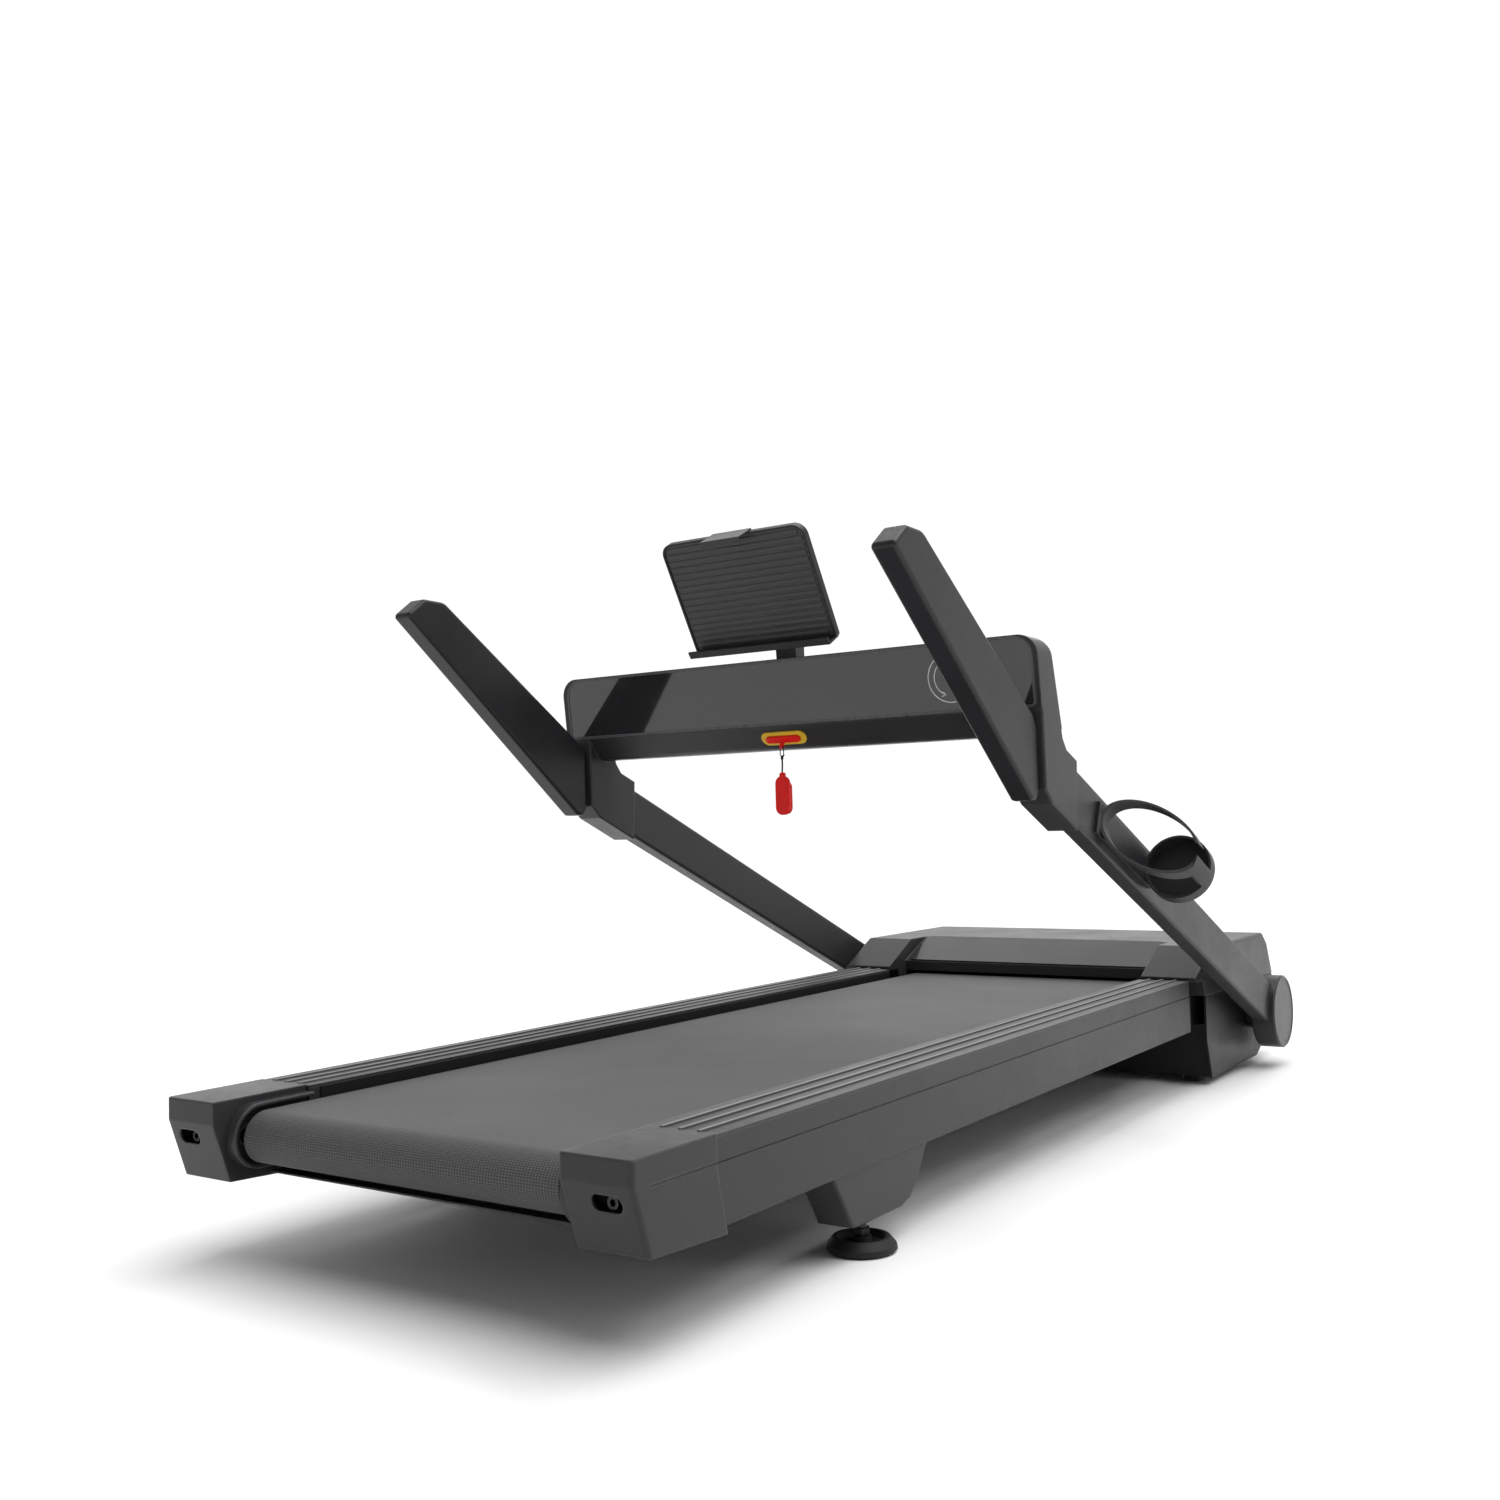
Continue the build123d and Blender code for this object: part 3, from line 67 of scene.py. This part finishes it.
# ------------------------------------------------------------------ finishes
class Finish:
    """A Principled material under construction, mapped by the object's own coordinates."""

    def __init__(self, name):
        self.material = bpy.data.materials.new(name)
        self.material.use_nodes = True
        self.tree = self.material.node_tree
        self.shader = self.tree.nodes["Principled BSDF"]
        self.place = self.node("TexCoord").outputs["Object"]

    def node(self, kind, inputs=None, **settings):
        """Add a shader node; inputs are values or sockets by input name or number."""
        made = self.tree.nodes.new("ShaderNode" + kind)
        for key, value in settings.items():
            setattr(made, key, value)
        for key, value in (inputs or {}).items():
            if isinstance(value, bpy.types.NodeSocket):
                self.tree.links.new(value, made.inputs[key])
            else:
                made.inputs[key].default_value = value
        return made

    def math(self, operation, *values):
        inputs = dict(enumerate(values))
        return self.node("Math", inputs, operation=operation).outputs[0]

    def stretched(self, scale):
        """Object coordinates multiplied axis by axis."""
        return self.node("Mapping", {"Vector": self.place, "Scale": scale}).outputs[0]

    def noise(self, scale, detail=4, roughness=0.55, vector=None):
        inputs = {"Vector": vector or self.place, "Scale": scale, "Detail": detail, "Roughness": roughness}
        return self.node("TexNoise", inputs).outputs[0]

    def span(self, value, low, high, start=0.3, stop=0.7):
        """Map a 0 to 1 texture onto a range."""
        inputs = {"Value": value, "From Min": start, "From Max": stop, "To Min": low, "To Max": high}
        return self.node("MapRange", inputs).outputs[0]

    def mix(self, factor, first, second):
        inputs = {0: factor, 6: first, 7: second}
        return self.node("Mix", inputs, data_type="RGBA").outputs[2]

    def edge(self, radius):
        """1 on edges, where wear and a painted highlight go, and 0 on open faces, with the normal that
        rounds them.
        """
        rounded = self.node("Bevel", {"Radius": radius}, samples=4).outputs[0]
        flat = self.node("NewGeometry").outputs["Normal"]
        facing = self.node("VectorMath", {0: rounded, 1: flat}, operation="DOT_PRODUCT").outputs["Value"]
        wear_and_highlight = self.node("MapRange", {"Value": facing, "From Min": 0.985, "From Max": 0.88}).outputs[0]
        return wear_and_highlight, rounded

    def bump(self, height, depth, normal=None, strength=1.0):
        inputs = {"Height": height, "Distance": depth, "Strength": strength}
        if normal is not None:
            inputs["Normal"] = normal
        return self.node("Bump", inputs).outputs[0]

    def set(self, **sockets):
        """Set or link the shader's own sockets."""
        for key, value in sockets.items():
            socket = self.shader.inputs[key.replace("_", " ")]
            if isinstance(value, bpy.types.NodeSocket):
                self.tree.links.new(value, socket)
            else:
                socket.default_value = value
        return self.material


def shade(color, factor):
    return tuple(min(1.0, channel * factor) for channel in color) + (1.0,)


def moulded(name, color, roughness, grain=900, depth=0.00012, edge=0.0012, lift=2.6, mottle=0.10,
            **more):
    """Moulded or coated surface: fine grain, faint mottling, edges painted lighter as a painted highlight
    that is patchy like rubbing, uneven gloss.
    """
    finish = Finish(name)
    wear_and_highlight, rounded = finish.edge(edge)
    cloud = finish.noise(9, 5)
    scuff = finish.noise(60, 6, 0.65)
    patchy = finish.mix(finish.span(cloud, 0, 1), shade(color, 1 - mottle), shade(color, 1 + mottle))
    rubbed_highlight = finish.math("MULTIPLY", wear_and_highlight, finish.span(scuff, 0.35, 1.0, 0.35, 0.6))
    # lift paints the edges lighter: a painted highlight, broken up by scuff noise like wear
    tint = finish.mix(rubbed_highlight, patchy, shade(color, lift))
    gloss = finish.span(finish.math("ADD", cloud, finish.math("MULTIPLY", scuff, 0.6)),
                        roughness - 0.05, roughness + 0.07, 0.55, 1.05)
    height = finish.noise(grain, 2, 0.6)
    more.setdefault("Specular_IOR_Level", 0.25)
    return finish.set(Base_Color=tint, Roughness=gloss, Normal=finish.bump(height, depth, rounded), **more)


def turned(name, color, roughness, stretch, lift=1.3):
    """Bare machined metal with fine lines along the stretched axis."""
    finish = Finish(name)
    wear_and_highlight, rounded = finish.edge(0.0006)
    lines = finish.noise(40, 3, 0.6, finish.stretched(stretch))
    tint = finish.mix(finish.span(lines, 0, 1), shade(color, 0.85), shade(color, lift))
    gloss = finish.span(lines, roughness - 0.06, roughness + 0.10)
    return finish.set(Base_Color=tint, Roughness=gloss, Metallic=1.0,
                      Normal=finish.bump(lines, 0.00008, rounded))


def belt_finish(name, roller_z, roller_y, wrap, cell_across=0.0038, cell_along=0.0032):
    """Rubber belt with a fine raised diamond weave that follows the belt round its rollers."""
    finish = Finish(name)
    axes = finish.node("SeparateXYZ", {0: finish.place})
    across, along, climb = axes.outputs
    lift = finish.math("SUBTRACT", climb, roller_z)
    reach = finish.math("ADD", finish.math("SUBTRACT", along, roller_y), wrap)
    run = finish.math("ADD", lift, finish.math("MULTIPLY", finish.math("SIGN", lift), reach))
    one = finish.math("MULTIPLY", across, math.pi / cell_across)
    two = finish.math("MULTIPLY", run, math.pi / cell_along)
    rising = finish.math("SINE", finish.math("ADD", one, two))
    falling = finish.math("SINE", finish.math("SUBTRACT", one, two))
    knots = finish.span(finish.math("MULTIPLY", rising, falling), 0, 1, -0.5, 0.5)
    cloud = finish.noise(5, 5)
    base = finish.mix(finish.span(cloud, 0, 1), (0.034, 0.034, 0.037, 1), (0.042, 0.042, 0.045, 1))
    tint = finish.mix(finish.math("MULTIPLY", knots, 0.7), base, (0.13, 0.13, 0.135, 1))
    height = finish.math("ADD", knots, finish.math("MULTIPLY", finish.noise(1600, 2), 0.25))
    uneven = finish.math("ADD", cloud, finish.math("MULTIPLY", knots, 0.2))
    gloss = finish.span(uneven, 0.50, 0.60, 0.4, 0.8)
    return finish.set(Base_Color=tint, Roughness=gloss, Specular_IOR_Level=0.35,
                      Normal=finish.bump(height, 0.0007, None, 0.9))


def ribbed_pad(name):
    """Soft rubber pad: matte, with random dusty patches that are rougher, and a little sheen."""
    finish = Finish(name)
    dust = finish.noise(30, 6, 0.6)
    tint = finish.mix(finish.span(dust, 0, 1), (0.022, 0.022, 0.024, 1), (0.036, 0.036, 0.038, 1))
    return finish.set(Base_Color=tint, Roughness=finish.span(dust, 0.42, 0.6),
                      Normal=finish.bump(finish.noise(1500, 2), 0.0001), Sheen_Weight=0.15)


def smoked_glass(name):
    """Black-backed toughened glass with faint smears."""
    finish = Finish(name)
    smear = finish.noise(7, 5, 0.6, finish.stretched((1.0, 1.0, 2.4)))
    tint = finish.mix(finish.span(smear, 0, 1), (0.016, 0.016, 0.018, 1), (0.024, 0.024, 0.026, 1))
    return finish.set(Base_Color=tint, Roughness=finish.span(smear, 0.05, 0.11), Coat_Weight=0.6,
                      Coat_Roughness=0.03, Normal=finish.bump(finish.noise(14, 2), 0.00006))


def film_faced_wood(name):
    """Deck board: dark phenolic film with the veneers' grain just showing."""
    finish = Finish(name)
    grain = finish.noise(22, 6, 0.6, finish.stretched((3.0, 0.25, 12.0)))
    tint = finish.mix(finish.span(grain, 0, 1), (0.045, 0.030, 0.020, 1), (0.12, 0.080, 0.050, 1))
    return finish.set(Base_Color=tint, Roughness=finish.span(grain, 0.38, 0.55),
                      Normal=finish.bump(grain, 0.00015))


def braided(name):
    """Woven cord: crossing strands."""
    finish = Finish(name)
    wave = finish.node("TexWave", {"Vector": finish.place, "Scale": 260.0, "Distortion": 2.0})
    strand = wave.outputs["Fac"]
    tint = finish.mix(strand, (0.010, 0.010, 0.010, 1), (0.030, 0.030, 0.030, 1))
    return finish.set(Base_Color=tint, Roughness=0.8, Normal=finish.bump(strand, 0.0002))


grey = (0.030, 0.030, 0.032)
belt_low, belt_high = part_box("running_belt")
roller_low, roller_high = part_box("rear_roller")
roller_z = (roller_low[2] + roller_high[2]) / 2
roller_y = (roller_low[1] + roller_high[1]) / 2

finishes = {
    "rail_paint": moulded("rail_paint", (0.030, 0.030, 0.032), 0.38, grain=1300, depth=0.00006,
                          edge=0.0014),
    "foot_rail_plastic": moulded("foot_rail_plastic", (0.036, 0.036, 0.038), 0.36, grain=1100, edge=0.0010,
                                 lift=3.0),
    "shell_plastic": moulded("shell_plastic", grey, 0.34, grain=800, edge=0.0030, lift=3.4),
    "dark_plastic": moulded("dark_plastic", (0.018, 0.018, 0.020), 0.42, grain=800, edge=0.0010, lift=2.2),
    "hood_gloss": moulded("hood_gloss", (0.022, 0.022, 0.024), 0.20, grain=300, depth=0.00002,
                          Coat_Weight=0.4, Coat_Roughness=0.08),
    "belt_rubber": belt_finish("belt_rubber", roller_z, roller_y, roller_z - belt_low[2]),
    "foot_rubber": moulded("foot_rubber", (0.018, 0.018, 0.018), 0.55, grain=700, depth=0.00015,
                           lift=2.0),
    "steel": turned("steel", (0.50, 0.50, 0.52), 0.32, (0.3, 8.0, 8.0)),
    "frame_steel": moulded("frame_steel", (0.020, 0.020, 0.021), 0.45, grain=500, depth=0.0002),
    "deck_wood": film_faced_wood("deck_wood"),
    "motor_paint": moulded("motor_paint", (0.030, 0.030, 0.032), 0.35, grain=400),
    "iron": turned("iron", (0.16, 0.16, 0.16), 0.45, (0.5, 6.0, 6.0)),
    "heat_sink": turned("heat_sink", (0.55, 0.55, 0.57), 0.38, (6.0, 0.3, 6.0)),
    "drive_rubber": moulded("drive_rubber", (0.015, 0.015, 0.015), 0.6, grain=900),
    "hub_paint": moulded("hub_paint", (0.040, 0.040, 0.043), 0.34, grain=1200, depth=0.00005, edge=0.0008,
                         lift=2.6, Metallic=0.35),
    "glass_black": smoked_glass("glass_black"),
    "display_black": moulded("display_black", (0.020, 0.020, 0.022), 0.25, grain=900, depth=0.00003,
                             lift=3.0),
    "grip_plastic": moulded("grip_plastic", (0.018, 0.018, 0.020), 0.34, grain=900, depth=0.0001,
                            edge=0.0016, lift=1.8),
    "mat_rubber": ribbed_pad("mat_rubber"),
    "clip_metal": moulded("clip_metal", (0.075, 0.075, 0.080), 0.34, grain=1200, depth=0.00004, lift=2.2,
                          Metallic=0.4),
    "key_yellow": moulded("key_yellow", (0.78, 0.50, 0.035), 0.38, grain=700, lift=1.15),
    "key_red": moulded("key_red", (0.86, 0.012, 0.010), 0.28, grain=500, depth=0.0001, lift=1.2,
                       mottle=0.06),
    "cord_black": braided("cord_black"),
}
blackened = turned("blackened_steel", (0.05, 0.05, 0.055), 0.38, (0.3, 8.0, 8.0))
special_finishes = {
    "roller_adjusters": blackened,
    "rear_guard": moulded("guard_plastic", (0.026, 0.026, 0.028), 0.48, grain=900),
    "hood_skirt": moulded("skirt_plastic", (0.009, 0.009, 0.010), 0.42, grain=800, edge=0.0016,
                          lift=3.0),
    "foot_stud_right": blackened,
    "foot_stud_left": blackened,
    # the bezel is painted lighter all over: a painted highlight standing in for the catch light along the
    # glass's top edge
    "console_bezel": moulded("painted_highlight_trim", (0.10, 0.10, 0.105), 0.28, grain=1400, depth=0.00003,
                             edge=0.0006, lift=2.4),
}
for name, piece in nodes.items():
    for slot in piece.material_slots:
        slot.material = special_finishes.get(name, finishes[slot_of[name]])


# ------------------------------------------------------------------ small trim pieces
def ride(piece, body, slot, finish=None):
    """Give a new piece its body and its finish, by default the finish of its record slot."""
    piece.data.materials.append(finish or finishes[slot])
    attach(piece, body)
    return piece


def mesh_piece(name, mesh_builder, smooth=True):
    """New object from a bmesh."""
    data = bpy.data.meshes.new(name)
    mesh_builder.normal_update()
    mesh_builder.to_mesh(data)
    mesh_builder.free()
    for polygon in data.polygons:
        polygon.use_smooth = smooth
    piece = bpy.data.objects.new(name, data)
    bpy.context.collection.objects.link(piece)
    return piece


def lathe(name, profile, place, steps=48, smooth=True):
    """Closed turned piece: profile is (radius, height) pairs, spun about the local Z of a matrix."""
    form = bmesh.new()
    rings = []
    for step in range(steps):
        angle = 2 * math.pi * step / steps
        cosine, sine = math.cos(angle), math.sin(angle)
        rings.append([form.verts.new(place @ Vector((radius * cosine, radius * sine, height)))
                      for radius, height in profile])
    count = len(profile)
    for step in range(steps):
        here, there = rings[step], rings[(step + 1) % steps]
        for index in range(count):
            after = (index + 1) % count
            form.faces.new((here[index], there[index], there[after], here[after]))
    bmesh.ops.remove_doubles(form, verts=form.verts, dist=1e-7)
    bmesh.ops.recalc_face_normals(form, faces=form.faces)
    return mesh_piece(name, form, smooth)


def ribbon(name, points, width, thickness, place, closed=False):
    """Flat raised line through 2D points on a plane given by a matrix."""
    form = bmesh.new()
    count = len(points)
    sections = []
    for index, point in enumerate(points):
        before = points[index - 1] if closed or index else point
        after = points[(index + 1) % count] if closed or index < count - 1 else point
        run = (Vector(after) - Vector(before)).normalized()
        side = Vector((-run.y, run.x)) * width / 2
        corners = ((side, 0), (side, thickness), (-side, thickness), (-side, 0))
        sections.append([form.verts.new(place @ Vector((point[0] + offset.x, point[1] + offset.y, height)))
                         for offset, height in corners])
    last = count if closed else count - 1
    for index in range(last):
        here, there = sections[index], sections[(index + 1) % count]
        for corner in range(4):
            after = (corner + 1) % 4
            form.faces.new((here[corner], here[after], there[after], there[corner]))
    if not closed:
        form.faces.new(sections[0])
        form.faces.new(sections[-1][::-1])
    bmesh.ops.recalc_face_normals(form, faces=form.faces)
    return mesh_piece(name, form, smooth=False)


def wire(name, points, radius, up, closed=False, steps=12):
    """Round wire through 3D points whose runs are never parallel to up."""
    form = bmesh.new()
    points = [Vector(point) for point in points]
    count = len(points)
    sections = []
    for index, point in enumerate(points):
        before = points[index - 1] if closed or index else point
        after = points[(index + 1) % count] if closed or index < count - 1 else point
        side = (after - before).cross(Vector(up)).normalized()
        rise = side.cross(after - before).normalized()
        turns = [2 * math.pi * step / steps for step in range(steps)]
        sections.append([form.verts.new(point + radius * (side * math.cos(turn) + rise * math.sin(turn)))
                         for turn in turns])
    for index in range(count if closed else count - 1):
        here, there = sections[index], sections[(index + 1) % count]
        for step in range(steps):
            after = (step + 1) % steps
            form.faces.new((here[step], here[after], there[after], there[step]))
    if not closed:
        form.faces.new(sections[0])
        form.faces.new(sections[-1][::-1])
    bmesh.ops.recalc_face_normals(form, faces=form.faces)
    return mesh_piece(name, form)


def arc(radius, start, stop, steps):
    """Points of a circular arc between two angles in degrees."""
    angles = [math.radians(start + (stop - start) * step / steps) for step in range(steps + 1)]
    return [(radius * math.cos(angle), radius * math.sin(angle)) for angle in angles]


def face_matrix(origin, right, normal):
    """Matrix whose local X is right and local Z is normal, at an origin."""
    right, normal = Vector(right).normalized(), Vector(normal).normalized()
    up = normal.cross(right)
    turn = Matrix((right, up, normal)).transposed().to_4x4()
    return Matrix.Translation(Vector(origin)) @ turn


def broadest_face(node, direction):
    """Centre and normal of a node's largest faces looking in a direction."""
    faces = [face for face in nodes[node].data.polygons if face.normal.dot(Vector(direction)) > 0.9]
    normal = max(faces, key=lambda face: face.area).normal
    level = max(face.center.dot(normal) for face in faces)
    low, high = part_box(node)
    middle = (Vector(low) + Vector(high)) / 2
    return middle + normal * (level - middle.dot(normal)), normal


white_print = moulded("white_print", (0.75, 0.75, 0.76), 0.4, lift=1.0, mottle=0.03)
bright_edge = turned("bright_edge", (0.34, 0.34, 0.36), 0.24, (6.0, 0.4, 0.4))

# round mark at the right end of the glass: a ring, an arc in it and the arc's arrow
middle_x = (belt_low[0] + belt_high[0]) / 2
dial_offset = 0.277
dial_radius = 0.033
dial_inner_radius = 0.024
print_width = 0.0014
print_height = 0.0003
glass_middle, glass_normal = broadest_face("console_glass", (0, -1, 0))
dial_place = face_matrix((middle_x + dial_offset, glass_middle.y, glass_middle.z), (1, 0, 0), glass_normal)
tip_x, tip_y = arc(dial_inner_radius, 250, 251, 1)[0]
dial_lines = {
    "dial_ring": arc(dial_radius, 0, 354, 60),
    "dial_arc": arc(dial_inner_radius, 110, 250, 24),
    "dial_arrow": [(tip_x - 0.0055, tip_y + 0.0045), (tip_x, tip_y), (tip_x - 0.0066, tip_y - 0.0016)],
}
for name, line in dial_lines.items():
    mark = ribbon(name, line, print_width, print_height, dial_place, closed=name == "dial_ring")
    ride(mark, "swing_frame", "glass_black", white_print)

# bright turned edge round each hub disc
cap_low, cap_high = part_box("hub_caps")
hub_y, hub_z = (cap_low[1] + cap_high[1]) / 2, (cap_low[2] + cap_high[2]) / 2
hub_radius = (cap_high[2] - cap_low[2]) / 2
for side, outer in (("left", cap_low[0]), ("right", cap_high[0])):
    out = -1 if side == "left" else 1
    place = face_matrix((outer, hub_y, hub_z), (0, 1, 0), (out, 0, 0))
    profile = [
        (hub_radius - 0.0062, -0.0009), (hub_radius - 0.0056, -0.0002), (hub_radius - 0.0026, -0.0001),
        (hub_radius - 0.0003, -0.0024), (hub_radius - 0.0003, -0.0034), (hub_radius - 0.006, -0.0034),
    ]
    ride(lathe("hub_rim_" + side, profile, place, 96), "swing_frame", "hub_paint", bright_edge)


def bar(name, low, high, slot, finish):
    """Straight square-edged strip between two corners, on the fixed frame."""
    form = bmesh.new()
    bmesh.ops.create_cube(form, size=1.0)
    size = Vector(high) - Vector(low)
    bmesh.ops.scale(form, vec=size, verts=form.verts)
    bmesh.ops.translate(form, vec=(Vector(low) + Vector(high)) / 2, verts=form.verts)
    return ride(mesh_piece(name, form, smooth=False), "frame", slot, finish)


# pale strips on the foot rails' ridges as painted highlights, and a black sheet down each side of the belt
# as painted shade on the rails' inner walls
# painted highlight: pale strips standing in for the light caught on each ridge crown
painted_ridge_highlight = moulded("painted_ridge_highlight", (0.24, 0.24, 0.25), 0.34, grain=1500, depth=0.00003, lift=1.3, mottle=0.05)
# painted shade: a near-black sheet put where the rails' inner walls lie in shadow
shade_sheet = moulded("liner_black", (0.006, 0.006, 0.006), 0.55, grain=600, lift=1.4)
rail_low, rail_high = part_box("foot_rail_right")
side_low, side_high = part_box("side_rail_right")
rail_inner = rail_low[0] - middle_x
ridge_first = 0.268
ridge_step = 0.0225
ridge_count = 3
highlight_half = 0.0013
highlight_sunk = 0.0012
highlight_proud = 0.0002
end_gap = 0.002
shade_sheet_thickness = 0.0015
shade_sheet_rear_gap = 0.016
shade_sheet_drop = 0.016
shade_sheet_top_gap = 0.0004
for side, out in (("right", 1), ("left", -1)):
    for ridge in range(ridge_count):
        ridge_x = middle_x + out * (ridge_first + ridge * ridge_step)
        bar("painted_ridge_highlight_%s_%d" % (side, ridge + 1),
            (ridge_x - highlight_half, rail_low[1] + end_gap, rail_high[2] - highlight_sunk),
            (ridge_x + highlight_half, rail_high[1] - end_gap, rail_high[2] + highlight_proud),
            "foot_rail_plastic", painted_ridge_highlight)
    inner = middle_x + out * rail_inner
    beside = inner - out * shade_sheet_thickness
    bar("liner_" + side,
        (min(inner, beside), side_low[1] + shade_sheet_rear_gap, belt_high[2] - shade_sheet_drop),
        (max(inner, beside), side_high[1] - end_gap, side_high[2] - shade_sheet_top_gap),
        "dark_plastic", shade_sheet)


# ------------------------------------------------------------------ lanyard: black cord tied to a metal ring
lanyard_low, lanyard_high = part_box("key_cord")
hang_x = (lanyard_low[0] + lanyard_high[0]) / 2
hang_y = (lanyard_low[1] + lanyard_high[1]) / 2
cord_radius = 0.0012
wire_radius = 0.00075
ring_length = 0.016
ring_width = 0.0074
cord_top = lanyard_high[2] - ring_length + wire_radius
# sideways offset of each route point, from the ring down to the clip
sway = (0.0, 0.0, 0.0002, 0.0003, 0.0, -0.0003, -0.0002, 0.0, 0.0)

route = bpy.data.curves.new("lanyard_cord", "CURVE")
route.dimensions = "3D"
route.bevel_depth = cord_radius
route.bevel_resolution = 4
route.use_fill_caps = True
strand = route.splines.new("NURBS")
strand.points.add(len(sway) - 1)
for index, offset in enumerate(sway):
    height = cord_top + (lanyard_low[2] - cord_top) * index / (len(sway) - 1)
    strand.points[index].co = (hang_x + offset, hang_y, height, 1)
strand.order_u = 3
strand.use_endpoint_u = True
strand.resolution_u = 12
cord = bpy.data.objects.new("lanyard_cord", route)
bpy.context.collection.objects.link(cord)
ride(cord, "lanyard", "cord_black")

bend = (ring_width - 2 * wire_radius) / 2
half_run = (ring_length - 2 * wire_radius) / 2 - bend
ring_middle = lanyard_high[2] - ring_length / 2
loop = [(hang_x + x, hang_y, ring_middle + half_run + z) for x, z in arc(bend, 0, 180, 12)]
loop += [(hang_x + x, hang_y, ring_middle - half_run + z) for x, z in arc(bend, 180, 360, 12)]
ring = ride(wire("lanyard_ring", loop, wire_radius, (0, 1, 0), closed=True), "lanyard", "steel", blackened)

knot_turns = 2.5
knot_steps = 40
knot_radius = 0.0013
knot_length = 0.0045
knot_line = []
for step in range(knot_steps + 1):
    angle = 2 * math.pi * knot_turns * step / knot_steps
    knot_line.append((hang_x + knot_radius * math.cos(angle), hang_y + knot_radius * math.sin(angle),
                      cord_top - 0.0002 - knot_length * step / knot_steps))
knot = ride(wire("lanyard_knot", knot_line, 0.0009, (0, 0, 1)), "lanyard", "cord_black")
tail_line = [(hang_x + 0.001 + 0.0006 * step, hang_y, cord_top - 0.0025 + 0.0011 * step ** 0.8)
             for step in range(6)]
tail = ride(wire("lanyard_tail", tail_line, 0.0008, (0, 1, 0)), "lanyard", "cord_black")

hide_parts("key_cord")


# ------------------------------------------------------------------ floor, light and camera
def studio_surface():
    """Plain pale floor."""
    finish = Finish("studio_floor")
    drift = finish.noise(1.2, 3)
    tint = finish.mix(finish.span(drift, 0, 1), (0.93, 0.93, 0.93, 1), (0.96, 0.96, 0.96, 1))
    return finish.set(Base_Color=tint, Roughness=0.75)


floor_form = bmesh.new()
bmesh.ops.create_grid(floor_form, x_segments=1, y_segments=1, size=30)
floor = mesh_piece("floor", floor_form)
floor.location.z = cad_bounds[0][2] - 0.0005
floor.data.materials.append(studio_surface())


def studio_world(toward):
    """White surround that is brightest in one direction and dimmer in the opposite one."""
    world = bpy.data.worlds.new("studio")
    world.use_nodes = True
    tree = world.node_tree
    look = tree.nodes.new("ShaderNodeTexCoord").outputs["Generated"]
    facing = tree.nodes.new("ShaderNodeVectorMath")
    facing.operation = "DOT_PRODUCT"
    facing.inputs[1].default_value = toward
    level = tree.nodes.new("ShaderNodeMapRange")
    for key, value in {"From Min": -0.3, "From Max": 0.7, "To Min": 0.22, "To Max": 1.05}.items():
        level.inputs[key].default_value = value
    backdrop = tree.nodes["Background"]
    backdrop.inputs["Color"].default_value = (1.0, 1.0, 1.0, 1.0)
    tree.links.new(look, facing.inputs[0])
    tree.links.new(facing.outputs["Value"], level.inputs["Value"])
    tree.links.new(level.outputs[0], backdrop.inputs["Strength"])
    return world


yaw, pitch, roll = math.radians(34.44), math.radians(2.96), math.radians(-1.54)
centre = Vector((0, 0, 0.3))
bpy.context.scene.world = studio_world((-math.sin(yaw), math.cos(yaw), 0))

sky = bpy.data.lights.new("ceiling", "SUN")
sky.energy = 2.2
sky.angle = math.radians(60)
ceiling = bpy.data.objects.new("ceiling", sky)
ceiling.rotation_euler = Vector((-0.35, -0.10, -1)).to_track_quat("-Z", "Y").to_euler()
bpy.context.collection.objects.link(ceiling)
bpy.context.scene.view_settings.view_transform = "Standard"


def strip_light(name, place, target, length, width, power):
    """Narrow lamp whose reflection draws the bright lines along rounded edges."""
    lamp = bpy.data.lights.new(name, "AREA")
    lamp.shape = "RECTANGLE"
    lamp.size, lamp.size_y = length, width
    lamp.energy = power
    piece = bpy.data.objects.new(name, lamp)
    piece.location = place
    piece.rotation_euler = (Vector(target) - Vector(place)).to_track_quat("-Z", "Y").to_euler()
    bpy.context.collection.objects.link(piece)


strip_light("strip_over", (0.2, 0.4, 2.6), centre, 3.0, 0.25, 14)
strip_light("strip_beyond", (-1.6, 3.2, 2.2), centre, 2.4, 0.25, 9)
strip_light("strip_side", (2.6, 0.3, 1.6), centre, 0.3, 2.2, 10)

camera_data = bpy.data.cameras.new("camera")
camera_data.sensor_width = 36.0
camera_data.lens = 35.2
camera_data.shift_y = -0.002
camera_data.clip_end = 100.0
camera = bpy.data.objects.new("camera", camera_data)
aim = Vector((-math.sin(yaw) * math.cos(pitch), math.cos(yaw) * math.cos(pitch), math.sin(pitch)))
level = aim.to_track_quat("-Z", "Y").to_matrix().to_4x4()
camera.matrix_world = Matrix.Translation((1.1075, -1.9917, 0.476)) @ level @ Matrix.Rotation(roll, 4, "Z")
bpy.context.collection.objects.link(camera)
bpy.context.scene.camera = camera
